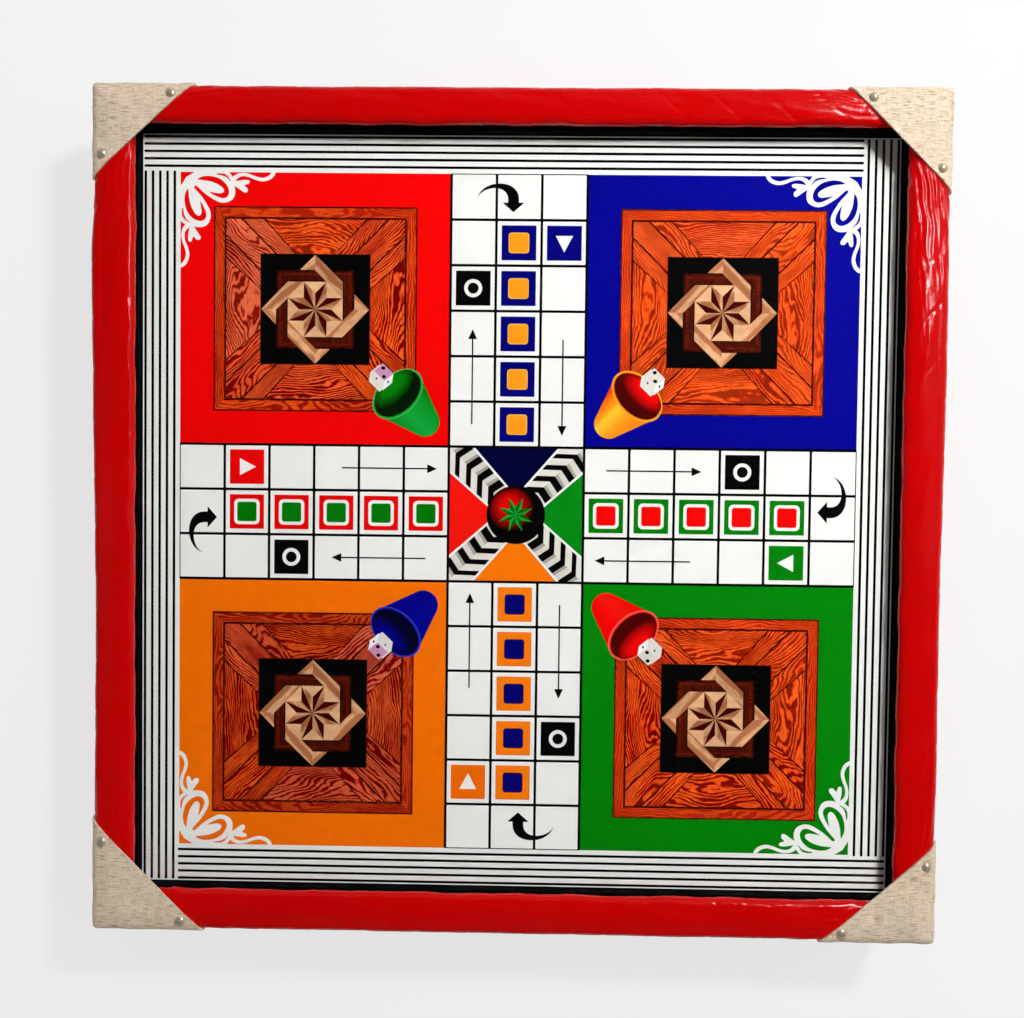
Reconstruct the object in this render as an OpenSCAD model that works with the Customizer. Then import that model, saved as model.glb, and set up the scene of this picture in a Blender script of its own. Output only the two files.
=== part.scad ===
// Ludo board box: a shallow square tray and a hinged lid. The lid's top is the
// playing board, sunk under glass inside a padded rim with tacked corner patches.
// X runs along the front, Y from front to back, Z up from the surface it stands on.

/* [Box] */
// Outside width and depth of the square box, over its vinyl covering
board_w = 610; // [560:1:660]
// Height of the tray's walls above its floor
tray_h = 35; // [34:1:60]
// Thickness of the tray's walls
wall_t = 12; // [10:0.5:16]
// Thickness of the tray's plywood floor
floor_t = 4; // [3:0.5:8]
// Thickness of the slats that divide the tray
slat_t = 6; // [4:0.5:10]
// Distance of the slats' top edge below the tray's rim
slat_drop = 2; // [1:0.5:8]
// Radius of the box's upright corners over the covering
corner_r = 4; // [3:0.5:6]
// Gap between the closed lid and the tray
seam_gap = 0.4; // [0.3:0.1:1]

/* [Covering] */
// Thickness of the red vinyl
vinyl_t = 1; // [0.8:0.1:1.4]
// Width of the vinyl turned under the lid and over the tray's edges
turn_in = 10; // [6:0.5:12]
// Width of the vinyl turned in under the tray's floor
floor_turn_in = 14; // [8:1:20]

/* [Rim] */
// Width of the lid's wooden rails beside the playing panel
rail_w = 24; // [20:0.5:28]
// Width of the ledge that carries the playing panel
ledge_w = 9; // [6:0.5:14]
// Height of that ledge, which is the depth of the lid's underside
ledge_h = 14; // [10:0.5:20]
// Height of the rails above the glass
rail_above_glass = 11.5; // [8:0.1:14]
// Thickness of the foam on top of the rails
foam_t = 6; // [5:0.5:9]
// Rise of the padding's crown over its two edges
crown_h = 1; // [0.5:0.1:1.5]
// Radius of the padding's outer edge
edge_r = 7; // [5:0.5:8]
// Radius of the padding's inner lip
lip_r = 5.2; // [4.8:0.1:5.6]
// Width of the black bead that holds the glass
bead_w = 4.2; // [3.5:0.1:5]

/* [Playing panel] */
// Thickness of the plywood panel
panel_t = 6; // [4:0.5:10]
// Thickness of the printed sheet
sheet_t = 0.4; // [0.3:0.1:0.8]
// Thickness of the ink films on the sheet
ink_t = 0.1; // [0.05:0.05:0.2]
// Thickness of the glass
glass_t = 4; // [3:0.5:6]
// Play between the rails and the panel, sheet and glass
panel_play = 0.5; // [0.2:0.1:1]

/* [Print] */
// Width of a white stripe of the border
stripe_white = 3.45; // [3:0.05:4]
// Width of a black stripe of the border
stripe_black = 1.9; // [1.5:0.05:2.5]
// Number of stripe pairs in the border
stripe_count = 5; // [3:1:6]
// White margin outside the outermost stripe
margin_w = 0.9; // [0.5:0.1:2]
// Width of the black lines between the cells
line_w = 1.7; // [1:0.1:2.4]
// Share of a cell that its coloured square fills
mark_share = 0.75; // [0.6:0.01:0.85]
// Share of a cell that the small inner square fills
inner_share = 0.42; // [0.3:0.01:0.5]
// Width of a home's wooden panel, in cells
wood_cells = 4.5; // [4:0.1:5]
// Width of the dark square in a wooden panel, in cells
dark_cells = 2.4; // [2:0.1:3]
// Radius of the middle disc, in cells
disc_cells = 0.66; // [0.4:0.02:0.9]

/* [Corner patches] */
// Thickness of the leathercloth patches
patch_t = 1.2; // [0.8:0.1:1.6]
// Depth of the patches down the lid's sides
patch_drop = 34; // [20:1:38]
// Length of each patch along the front or back edge: front left, front right, back right, back left
patch_x = [86, 88, 78, 78]; // [76:1:90]
// Length of each patch along the left or right edge, in the same order
patch_y = [86, 78, 78, 72]; // [70:1:90]
// Distance of the tacks from the outer edge
tack_inset = 8; // [7:0.5:10]
// Distance of the tacks from the end of the patch
tack_from_end = 21; // [16:0.5:26]
// Radius of a tack's domed head
tack_r = 4; // [3:0.25:5]
// Height of a tack's domed head
tack_h = 2.4; // [1.5:0.1:3]
// Depth that a tack's head presses into its patch
tack_sink = 0.5; // [0.2:0.05:0.6]
// Radius of a tack's pin
tack_pin_r = 0.7; // [0.5:0.05:1]
// Length of a tack's pin
tack_pin_l = 14; // [12:0.5:18]

/* [Hinges] */
// Length of a hinge along the box's back
hinge_l = 64; // [50:1:90]
// Distance of each hinge's middle from the box's side
hinge_from_side = 125; // [122:1:180]
// Height of a leaf's plate
leaf_h = 20; // [16:0.5:24]
// Thickness of a leaf
leaf_t = 1.5; // [1.2:0.1:1.8]
// Radius of the hinge's barrel
barrel_r = 3.6; // [3.2:0.1:4.2]
// Radius of the hinge's pin
pin_r = 2; // [1.6:0.1:2.2]
// Number of knuckles in a hinge
knuckles = 5; // [3:2:7]
// Radius of a screw's shank
screw_r = 1.4; // [1.2:0.1:1.6]
// Radius of a screw's countersunk head
screw_head_r = 2.9; // [2.6:0.1:3.2]
// Length of a screw
screw_l = 11; // [9:0.5:11.5]

/* [Hook latches] */
// Distance of each latch's middle from the box's side
latch_from_side = 145; // [138:1:200]
// Height of the hook's pivot above the seam
pivot_up = 17; // [16:0.5:20]
// Depth of the catch stud below the seam
stud_down = 13; // [12:0.5:18]
// Width of the latch's plates
latch_plate_w = 28; // [26:0.5:34]
// Height of the latch's plates
latch_plate_h = 17; // [14:0.5:20]
// Thickness of the latch's plates
latch_plate_t = 1.5; // [1.2:0.1:2]
// Thickness of the hook
hook_t = 2.5; // [1.8:0.1:3]
// Width of the hook's arm
hook_w = 7.5; // [7:0.5:9]
// Radius of the hook's rounded ends
hook_end_r = 6.5; // [6:0.25:7.5]
// Radius of the hook's pivot post and of the catch stud
post_r = 2.2; // [2:0.1:2.4]
// Radius of the domed heads on the pivot and the stud
post_head_r = 4.2; // [3.8:0.1:5]
// Height of those heads
post_head_h = 2.9; // [1.5:0.1:3.2]

/* [Feet] */
// Height of the rubber feet
foot_h = 6; // [5:0.5:10]
// Radius of the feet
foot_r = 11; // [8:0.5:14]
// Distance of a foot's middle from the box's outside
foot_inset = 38; // [32:1:60]

/* [Hidden] */
$fn = 48;

fit = 0.05;        // clearance between pieces that are assembled to touch
running = 0.06;    // radial clearance of a turning pin
moving = 0.3;      // gap between moving pieces that pass each other
slack = 0.1;       // gap between loosely laid pieces
reach = 1;         // how far a cutting shape passes the face that it cuts

half = board_w / 2;
hinge_x = half - hinge_from_side;
latch_x = half - latch_from_side;
rail_out = vinyl_t + fit;              // distances inward from the covered outside
rail_in = rail_out + rail_w;
rim_w = rail_in + bead_w;
opening = board_w - 2 * rim_w;         // visible width of the print

floor_z = foot_h;                      // heights above the table
tray_z = floor_z + floor_t;
tray_top = tray_z + tray_h;
seam_z = tray_top + vinyl_t;
lid_z = seam_z + seam_gap;
rail_z = lid_z + vinyl_t;
ledge_z = rail_z + ledge_h;
sheet_z = ledge_z + panel_t;
ink_z = sheet_z + sheet_t;
glass_z = ink_z + ink_t;
glass_top = glass_z + glass_t;
rail_top = glass_top + rail_above_glass;
crest_z = rail_top + foam_t + vinyl_t;
edge_z = crest_z - crown_h;            // where the crown meets the rounded edges
axis_z = seam_z + seam_gap / 2;
above_all = crest_z + patch_t + reach;

arc_steps = 8;                         // straight steps in a rounded edge of the padding
crown_steps = 6;
crown_mid = (edge_r + rim_w - lip_r) / 2;
crown_half = (rim_w - lip_r - edge_r) / 2;

// Outlines in section: u runs inward from the box's outside, z up
function arc(u, z, r, from, to, n = arc_steps) =
  [for (i = [0:n]) let (a = from + (to - from) * i / n) [u + r * cos(a), z + r * sin(a)]];
function crown_z(u) = crest_z - crown_h * pow((u - crown_mid) / crown_half, 2);
// Angle at which the lip, drawn in by t, comes back to the rail's inner face
function lip_end(t) = -acos((rail_in - (rim_w - lip_r)) / (lip_r - t));
function pad_outline(t) = concat(
  [[rail_in, lid_z + t], [t, lid_z + t]],
  arc(edge_r, edge_z - edge_r, edge_r - t, 180, 90),
  [for (i = [1:crown_steps - 1])
    let (u = crown_mid + crown_half * (2 * i / crown_steps - 1)) [u, crown_z(u) - t]],
  arc(rim_w - lip_r, edge_z - lip_r, lip_r - t, 90, lip_end(t), 2 * arc_steps));
// The lid's whole outside across the box, grown by t: rounded edges and a flat middle
function half_outline(t) = concat(
  [[-t, lid_z - reach]],
  arc(edge_r, edge_z - edge_r, edge_r + t, 180, 90),
  [for (i = [1:crown_steps / 2])
    let (u = crown_mid + crown_half * (2 * i / crown_steps - 1)) [u, crown_z(u) + t]]);
function mirrored(points) =
  [for (i = [len(points) - 1:-1:0]) [board_w - points[i][0], points[i][1]]];

module rounded_square(w, r) {
  square([w - 2 * r, w], center = true);
  square([w, w - 2 * r], center = true);
  for (x = [-1, 1], y = [-1, 1]) translate([x, y] * (w / 2 - r)) circle(r);
}
module rounded_block(inset, from, to) {
  translate([0, 0, from]) linear_extrude(to - from)
    rounded_square(board_w - 2 * inset, corner_r - inset);
}

// Sides: 0 front, 1 right, 2 back, 3 left; each is made as the front one
module on_side(k) { rotate([0, 0, 90 * k]) children(); }
// A section drawn in u and z, run along the front and mitred to its neighbours
module side_bar(from, to) {
  intersection() {
    translate([-half, -half, 0]) rotate([90, 0, 90]) linear_extrude(board_w) children();
    translate([0, 0, from - reach]) linear_extrude(to - from + 2 * reach)
      polygon([[-half - reach + fit, -half - reach], [half + reach - fit, -half - reach], [0, -fit]]);
  }
}
module section_box(u0, u1, z0, z1) { translate([u0, z0]) square([u1 - u0, z1 - z0]); }

// Screws: head up and shank down, with the head's face at z = 0
module screw(grow = 0) {
  shank_l = screw_l + (grow > 0 ? slack : 0);
  translate([0, 0, -leaf_t]) cylinder(h = leaf_t, r1 = screw_r + grow, r2 = screw_head_r + grow);
  translate([0, 0, -shank_l]) cylinder(h = shank_l, r = screw_r + grow);
}
// The same, with a cutting shape that passes the face
module screw_hole() {
  screw(fit);
  cylinder(h = reach, r = screw_head_r + fit);
}
hinge_screw_pitch = (hinge_l - 2 * screw_head_r - 8) / 2;
hinge_screw_z = barrel_r + moving + leaf_h / 2;
module at_hinge(side) { translate([side * hinge_x, half, axis_z]) children(); }
module at_hinge_screws(side, up) {
  at_hinge(side) for (i = [-1:1])
    translate([i * hinge_screw_pitch, leaf_t, up * hinge_screw_z]) rotate([-90, 0, 0]) children();
}
latch_screw_x = latch_plate_w / 2 - screw_head_r - 1.5;
// Front latches: local z points out of the front, y up from the seam
module at_latch(side) { translate([side * latch_x, -half, axis_z]) rotate([90, 0, 0]) children(); }
module at_latch_screws(side, y) {
  at_latch(side) for (i = [-1, 1]) translate([i * latch_screw_x, y, latch_plate_t]) children();
}
module tray_screw_places() {
  for (side = [-1, 1]) {
    at_hinge_screws(side, -1) children();
    at_latch_screws(side, -stud_down) children();
  }
}
module lid_screw_places() {
  for (side = [-1, 1]) {
    at_hinge_screws(side, 1) children();
    at_latch_screws(side, pivot_up) children();
  }
}

// Tray
module tray_floor() {
  color("burlywood") difference() {
    rounded_block(rail_out, floor_z, tray_z);
    at_feet() foot_screw_hole();
  }
}
module tray_wall(k) {
  color("tan") difference() {
    on_side(k) intersection() {
      side_bar(tray_z, tray_top) section_box(rail_out, rail_out + wall_t, tray_z, tray_top);
      rounded_block(rail_out, tray_z, tray_top);
    }
    tray_screw_places() screw_hole();
  }
}
module tray_cover() {
  color("firebrick") difference() {
    rounded_block(0, floor_z - vinyl_t, seam_z);
    rounded_block(vinyl_t, floor_z, tray_top);
    cube_through(board_w - 2 * turn_in, tray_z, seam_z + reach);
    cube_through(board_w - 2 * floor_turn_in, floor_z - vinyl_t - reach, tray_z);
    tray_screw_places() screw_hole();
  }
}
module cube_through(w, from, to) {
  translate([-w / 2, -w / 2, from]) cube([w, w, to - from]);
}
slat_top = tray_top - slat_drop;
slat_l = board_w - 2 * (rail_out + wall_t) - 2 * slack;
module slat(notch_from, notch_to) {
  color("wheat") difference() {
    translate([-slat_l / 2, -slat_t / 2, tray_z]) cube([slat_l, slat_t, slat_top - tray_z]);
    translate([-slat_t / 2 - slack, -slat_t, notch_from])
      cube([slat_t + 2 * slack, 2 * slat_t, notch_to - notch_from]);
  }
}
lap_z = (tray_z + slat_top) / 2;
module slat_across() { slat(lap_z, slat_top + reach); }
module slat_along() { rotate([0, 0, 90]) slat(tray_z - reach, lap_z - slack); }

// Feet, screwed down through the floor from inside
foot_screw_l = floor_t + foot_h - 2;
foot_head_h = 1.6;
module at_feet() {
  for (x = [-1, 1], y = [-1, 1]) translate([x * (half - foot_inset), y * (half - foot_inset), 0]) children();
}
module foot_screw(grow = 0) {
  translate([0, 0, tray_z - foot_head_h])
    cylinder(h = foot_head_h, r1 = screw_r + grow, r2 = screw_head_r + grow);
  translate([0, 0, tray_z - foot_screw_l - grow]) cylinder(h = foot_screw_l + grow, r = screw_r + grow);
}
module foot_screw_hole() {
  foot_screw(fit);
  translate([0, 0, tray_z]) cylinder(h = reach, r = screw_head_r + fit);
}
foot_taper = 1.5;
module feet() {
  color("dimgray") at_feet() difference() {
    cylinder(h = floor_z, r1 = foot_r - foot_taper, r2 = foot_r);
    foot_screw_hole();
  }
}
module foot_screws() { color("silver") at_feet() foot_screw(); }

// Hinges
knuckle_l = hinge_l / knuckles;
barrel_off = barrel_r + moving;        // distance of the hinge's axis from the box's back
module leaf(side, up, first) {
  plate_near = barrel_r + moving;
  plate_z = up > 0 ? plate_near : -plate_near - leaf_h;
  color("silver") difference() {
    at_hinge(side) difference() {
      union() {
        translate([-hinge_l / 2, 0, plate_z]) cube([hinge_l, leaf_t, leaf_h]);
        for (i = [first:2:knuckles - 1]) translate([-hinge_l / 2 + i * knuckle_l + moving / 2, 0, 0]) {
          translate([0, 0, up > 0 ? 0 : -plate_near - fit])
            cube([knuckle_l - moving, leaf_t, plate_near + fit]);
          translate([0, barrel_off, 0]) rotate([0, 90, 0]) cylinder(h = knuckle_l - moving, r = barrel_r);
        }
      }
      translate([-hinge_l / 2 - reach, barrel_off, 0]) rotate([0, 90, 0])
        cylinder(h = hinge_l + 2 * reach, r = pin_r + running);
    }
    at_hinge_screws(side, up) screw_hole();
  }
}
pin_head_h = 0.8;
module hinge_pin(side) {
  color("gray") at_hinge(side) translate([-hinge_l / 2, barrel_off, 0]) rotate([0, 90, 0]) {
    cylinder(h = hinge_l, r = pin_r);
    for (z = [-pin_head_h, hinge_l]) translate([0, 0, z])
      cylinder(h = pin_head_h, r = (pin_r + barrel_r) / 2);
  }
}
module tray_screws() { color("silver") tray_screw_places() screw(); }
module lid_screws() { color("silver") lid_screw_places() screw(); }

// Latches
hook_z = latch_plate_t + moving;       // distances out from the front
head_z = hook_z + hook_t + moving;
throw = pivot_up + stud_down;          // distance from the pivot to the engaged stud
plate_corner_r = 3;
module latch_plate(side, y) {
  translate([0, y, 0]) linear_extrude(latch_plate_t) {
    square([latch_plate_w - 2 * plate_corner_r, latch_plate_h], center = true);
    square([latch_plate_w, latch_plate_h - 2 * plate_corner_r], center = true);
    for (i = [-1, 1], j = [-1, 1])
      translate([i * (latch_plate_w / 2 - plate_corner_r), j * (latch_plate_h / 2 - plate_corner_r)])
        circle(plate_corner_r);
  }
}
// A post with a shallow domed head: the cap of a sphere through the head's rim and top
module headed_post(y) {
  dome_r = (pow(post_head_r, 2) + pow(post_head_h, 2)) / (2 * post_head_h);
  translate([0, y, 0]) {
    cylinder(h = head_z + fit, r = post_r);
    intersection() {
      translate([0, 0, head_z + post_head_h - dome_r]) sphere(dome_r);
      translate([0, 0, head_z]) cylinder(h = post_head_h + reach, r = post_head_r + reach);
    }
  }
}
module latch_half(side, y) {
  color("silver") difference() {
    at_latch(side) {
      latch_plate(side, y);
      headed_post(y);
    }
    at_latch_screws(side, y) screw_hole();
  }
}
// The hook hangs from its pivot at the origin with its slot round the stud below
module hook_outline() {
  slot_r = post_r + moving;
  difference() {
    union() {
      circle(hook_end_r);
      translate([-hook_w / 2, -throw]) square([hook_w, throw]);
      translate([0, -throw]) circle(hook_end_r);
      translate([-hook_end_r, -throw - 2.2 * hook_end_r]) square([hook_end_r, 2.2 * hook_end_r]);
      translate([-hook_end_r / 2, -throw - 2.2 * hook_end_r]) circle(hook_end_r / 2);
    }
    circle(post_r + running);
    translate([0, -throw]) circle(slot_r);
    intersection() {
      difference() {
        circle(throw + slot_r);
        circle(throw - slot_r);
      }
      translate([0, -throw - 2 * hook_end_r]) square([2 * hook_end_r, throw + 2 * hook_end_r]);
    }
  }
}
// Drawn for the left latch and mirrored for the right; at rest it is swung out sideways
module hook(side) {
  color("silver") at_latch(side) translate([0, pivot_up, hook_z])
    mirror([side > 0 ? 1 : 0, 0, 0]) rotate([0, 0, -90]) linear_extrude(hook_t) hook_outline();
}

// Lid
rail_chamfer = 2;
module lid_rail(k) {
  color("tan") difference() {
    on_side(k) intersection() {
      side_bar(rail_z, rail_top) polygon([
        [rail_out, rail_z], [rail_in + ledge_w, rail_z], [rail_in + ledge_w, ledge_z], [rail_in, ledge_z],
        [rail_in, rail_top - rail_chamfer], [rail_in - rail_chamfer, rail_top],
        [rail_out + rail_chamfer, rail_top], [rail_out, rail_top - rail_chamfer]]);
      rounded_block(rail_out, rail_z, rail_top);
    }
    lid_screw_places() screw_hole();
    tack_holes();
  }
}
module foam(k) {
  color("khaki") difference() {
    on_side(k) side_bar(rail_z, crest_z) difference() {
      polygon(pad_outline(vinyl_t + fit));
      section_box(0, rail_in + fit, lid_z, rail_top - rail_chamfer);
      polygon([[0, lid_z], [rail_in + fit, lid_z], [rail_in + fit, rail_top - rail_chamfer],
        [rail_in - rail_chamfer + fit, rail_top + fit], [rail_out + rail_chamfer - fit, rail_top + fit],
        [0, rail_top - rail_chamfer]]);
    }
    tack_holes();
  }
}
module rim_cover(k) {
  color("red") difference() {
    on_side(k) intersection() {
      side_bar(lid_z, crest_z) difference() {
        polygon(pad_outline(0));
        polygon(pad_outline(vinyl_t));
        section_box(turn_in, rim_w, lid_z - reach, rail_z);
      }
      rounded_block(0, lid_z - reach, above_all);
    }
    lid_screw_places() screw_hole();
    tack_holes();
  }
}
bead_top = edge_z - 2 * lip_r - slack;
module bead(k) {
  color("black") on_side(k) side_bar(glass_top, bead_top)
    section_box(rail_in + fit, rim_w, glass_top, bead_top);
}
panel_w = board_w - 2 * (rail_in + panel_play);
module panel_plate(from, to) { cube_through(panel_w, from, to); }
module playing_panel() { color("burlywood") panel_plate(ledge_z, sheet_z); }
module print_sheet() { color("white") panel_plate(sheet_z, ink_z); }
module glass_pane() { color([0.85, 0.93, 0.92, 0.35]) panel_plate(glass_z, glass_top); }

// Print: home 0 is the back left one, and the others follow clockwise
border_w = margin_w + stripe_count * (stripe_white + stripe_black);
cell = (opening - 2 * border_w) / 15;
gap_cells = 3;                         // the arms are three cells wide
arm = 6;                               // and six cells long
mark = mark_share * cell;
inner = inner_share * cell;
module ink(hue) { color(hue) translate([0, 0, ink_z]) linear_extrude(ink_t) children(); }
module turned(i) { rotate(-90 * i) children(); }
module at_cell(column, row) { translate([column, row] * cell) children(); }
module at_home() { at_cell(-gap_cells / 2 - arm / 2, gap_cells / 2 + arm / 2) children(); }
module home_field() {
  difference() {
    at_home() square(arm * cell, center = true);
    at_home() square(wood_cells * cell, center = true);
    square([2 * (arm + gap_cells) * cell, gap_cells * cell + line_w], center = true);
    square([gap_cells * cell + line_w, 2 * (arm + gap_cells) * cell], center = true);
  }
}
module home_marks() {
  for (i = [1:arm - 1]) at_cell(-gap_cells / 2 - arm + i + 0.5, 0) difference() {
    square(mark, center = true);
    square(inner, center = true);
  }
  at_cell(-gap_cells / 2 - arm + 1.5, 1) square(mark, center = true);
}
module inner_marks() {
  for (i = [1:arm - 1]) at_cell(-gap_cells / 2 - arm + i + 0.5, 0) square(inner, center = true);
}
centre_half = (gap_cells * cell - line_w) / 2;
triangle_half = 0.64 * centre_half;
chevron_share = 0.8;                   // how far in a corner chevron's notch starts
module home_triangle() {
  difference() {
    polygon([[-centre_half, -triangle_half], [-centre_half, triangle_half],
      [triangle_half - centre_half, 0]]);
    circle(disc_cells * cell);
  }
}
module home_ink(i) {
  turned(i) {
    home_field();
    home_marks();
    home_triangle();
  }
  turned(i + 2) inner_marks();
}
module arm_cells() {
  for (i = [0:arm - 1], j = [-1:1])
    at_cell(-gap_cells / 2 - arm + i + 0.5, j) square(cell - line_w, center = true);
}
module grid_lines() {
  long = (2 * arm + gap_cells) * cell;
  across = gap_cells * cell + line_w;
  difference() {
    union() {
      square([long, across], center = true);
      square([across, long], center = true);
    }
    for (i = [0:3]) turned(i) arm_cells();
    square(2 * centre_half, center = true);
  }
}
arrow_w = 1;
arrow_head = 0.21;                     // of a cell
module straight_arrow(x0, x1, y) {
  way = sign(x1 - x0);
  polygon(cell * [[x0, y - arrow_w / cell / 2], [x1 - way * arrow_head, y - arrow_w / cell / 2],
    [x1 - way * arrow_head, y - arrow_head / 2], [x1, y], [x1 - way * arrow_head, y + arrow_head / 2],
    [x1 - way * arrow_head, y + arrow_w / cell / 2], [x0, y + arrow_w / cell / 2]]);
}
// A crescent that starts as a point and swells to the arrow's head
turn_arrow_r = 0.5;
turn_arrow_w = 0.11;
module turning_arrow() {
  steps = 14;
  start = 195;
  stop = 90;
  function at(k, s) = let (a = start + (stop - start) * k / steps)
    [cos(a), sin(a)] * (turn_arrow_r + s * turn_arrow_w * k / steps);
  at_cell(-gap_cells / 2 - arm + 0.72, -0.55) polygon(cell * concat(
    [for (k = [0:steps]) at(k, 1)],
    [[0, turn_arrow_r + 2 * turn_arrow_w], [0.24, turn_arrow_r], [0, turn_arrow_r - 2 * turn_arrow_w]],
    [for (k = [steps:-1:1]) at(k, -1)]));
}
module arm_arrows() {
  straight_arrow(-gap_cells / 2 - 2.5, -gap_cells / 2 - 0.25, 1);
  straight_arrow(-gap_cells / 2 - 0.4, -gap_cells / 2 - 2.6, -1);
  turning_arrow();
  at_cell(-gap_cells / 2 - arm + 2.5, -1) square(mark, center = true);
}
// The border's stripes, each side running on to one corner and stopping short at the other
module border_stripes() {
  field = (opening - 2 * border_w) / 2;
  for (i = [0:3], n = [1:stripe_count]) turned(i) {
    near = field + n * stripe_white + (n - 1) * stripe_black;
    translate([-opening / 2 + margin_w, near]) square([opening / 2 - margin_w + field, stripe_black]);
  }
}
// Four corner bands of the middle square, each a black chevron between the triangles
module centre_bands() {
  for (i = [0:3]) turned(i) difference() {
    polygon([[-centre_half, centre_half], [-centre_half, triangle_half], [0, triangle_half - centre_half],
      [0, 0], [centre_half - triangle_half, 0], [-triangle_half, centre_half]]);
    circle(disc_cells * cell);
    polygon([[-centre_half, triangle_half], [triangle_half - centre_half, 0], [0, 0],
      [0, centre_half - triangle_half], [-triangle_half, centre_half],
      [-chevron_share * centre_half, chevron_share * centre_half]]);
  }
  circle(disc_cells * cell - line_w / 2);
}
star_points = 8;
star_r = 0.92 * dark_cells / 2;        // in cells
star_waist = 0.5;
module star() {
  polygon([for (i = [0:2 * star_points - 1]) let (a = 180 * i / star_points)
    [cos(a), sin(a)] * cell * star_r * (i % 2 == 0 ? 1 : star_waist)]);
}
module print_black() {
  ink("black") {
    grid_lines();
    border_stripes();
    centre_bands();
    for (i = [0:3]) turned(i) {
      arm_arrows();
      at_home() difference() {
        square(dark_cells * cell, center = true);
        star();
      }
    }
  }
}
module print_oak() {
  ink("sienna") for (i = [0:3]) turned(i) at_home() difference() {
    square(wood_cells * cell, center = true);
    square(dark_cells * cell, center = true);
  }
}
module print_tan() { ink("burlywood") for (i = [0:3]) turned(i) at_home() star(); }

// Corner patches and their tacks: 0 front left, 1 front right, 2 back right, 3 back left
patch_sign = [[-1, -1], [1, -1], [1, 1], [-1, 1]];
module lid_envelope(t) {
  intersection() {
    for (a = [0, 90]) rotate([0, 0, a])
      translate([-half - reach - t, -half, 0]) rotate([90, 0, 90]) linear_extrude(board_w + 2 * (reach + t))
        polygon(concat(half_outline(t), mirrored(half_outline(t))));
    rounded_block(-t, lid_z - reach, above_all + reach);
  }
}
module corner_prism(i) {
  s = patch_sign[i];
  translate([s[0] * (half + 2 * patch_t), s[1] * (half + 2 * patch_t), crest_z - patch_drop])
    linear_extrude(patch_drop + patch_t + reach)
      polygon([[0, 0], [-s[0] * patch_x[i], 0], [0, -s[1] * patch_y[i]]]);
}
module patch(i) {
  color("wheat") difference() {
    intersection() {
      corner_prism(i);
      difference() {
        lid_envelope(patch_t);
        lid_envelope(fit);
      }
    }
    tack_holes();
    tack_places() cylinder(h = tack_h + reach, r = tack_r + fit);
  }
}
tack_seat = crown_z(tack_inset + tack_r) + patch_t - tack_sink;
module tack_places() {
  for (i = [0:3]) {
    s = patch_sign[i];
    translate([s[0] * (half - patch_x[i] + tack_from_end), s[1] * (half - tack_inset), tack_seat]) children();
    translate([s[0] * (half - tack_inset), s[1] * (half - patch_y[i] + tack_from_end), tack_seat]) children();
  }
}
module corner_tacks() {
  dome_r = (pow(tack_r, 2) + pow(tack_h, 2)) / (2 * tack_h);
  color("silver") tack_places() {
    intersection() {
      translate([0, 0, tack_h - dome_r + fit]) sphere(dome_r);
      translate([0, 0, fit]) cylinder(h = tack_h + reach, r = tack_r + reach);
    }
    translate([0, 0, -tack_pin_l]) cylinder(h = tack_pin_l + 2 * fit, r = tack_pin_r);
  }
}
module tack_holes() {
  tack_places() translate([0, 0, -tack_pin_l - slack])
    cylinder(h = tack_pin_l + 2 * reach, r = tack_pin_r + fit);
}

tray_floor();
tray_wall(0);  // tray_wall_front
tray_wall(1);  // tray_wall_right
tray_wall(2);  // tray_wall_back
tray_wall(3);  // tray_wall_left
tray_cover();
slat_across();
slat_along();
feet();
foot_screws();
leaf(-1, -1, 0);  // hinge_left_tray_leaf
leaf(1, -1, 0);  // hinge_right_tray_leaf
hinge_pin(-1);  // hinge_left_pin
hinge_pin(1);  // hinge_right_pin
latch_half(-1, -stud_down);  // latch_left_stud
latch_half(1, -stud_down);  // latch_right_stud
tray_screws();
lid_rail(0);  // lid_rail_front
lid_rail(1);  // lid_rail_right
lid_rail(2);  // lid_rail_back
lid_rail(3);  // lid_rail_left
foam(0);  // foam_front
foam(1);  // foam_right
foam(2);  // foam_back
foam(3);  // foam_left
rim_cover(0);  // rim_cover_front
rim_cover(1);  // rim_cover_right
rim_cover(2);  // rim_cover_back
rim_cover(3);  // rim_cover_left
bead(0);  // bead_front
bead(1);  // bead_right
bead(2);  // bead_back
bead(3);  // bead_left
playing_panel();
print_sheet();
print_black();
ink("red") home_ink(0);  // print_red
ink("navy") home_ink(1);  // print_blue
ink("green") home_ink(2);  // print_green
ink("orange") home_ink(3);  // print_orange
print_oak();
print_tan();
glass_pane();
patch(0);  // patch_front_left
patch(1);  // patch_front_right
patch(2);  // patch_back_right
patch(3);  // patch_back_left
corner_tacks();
leaf(-1, 1, 1);  // hinge_left_lid_leaf
leaf(1, 1, 1);  // hinge_right_lid_leaf
latch_half(-1, pivot_up);  // latch_left_pivot
latch_half(1, pivot_up);  // latch_right_pivot
lid_screws();
hook(-1);  // hook_left
hook(1);  // hook_right
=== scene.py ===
# %% [markdown]
# # Ludo board box
# A shallow tray with a hinged lid. The lid's top is the playing board: a printed sheet under glass, sunk
# inside a padded rim of glossy red vinyl, with a leathercloth patch and two domed tacks on each corner.
# Sizes are worked out in millimetres, in the frame of the construction model, and become metres when a
# mesh is made.

import math

import bmesh
import bpy
import numpy as np
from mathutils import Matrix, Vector
from mathutils.geometry import delaunay_2d_cdt


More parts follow.
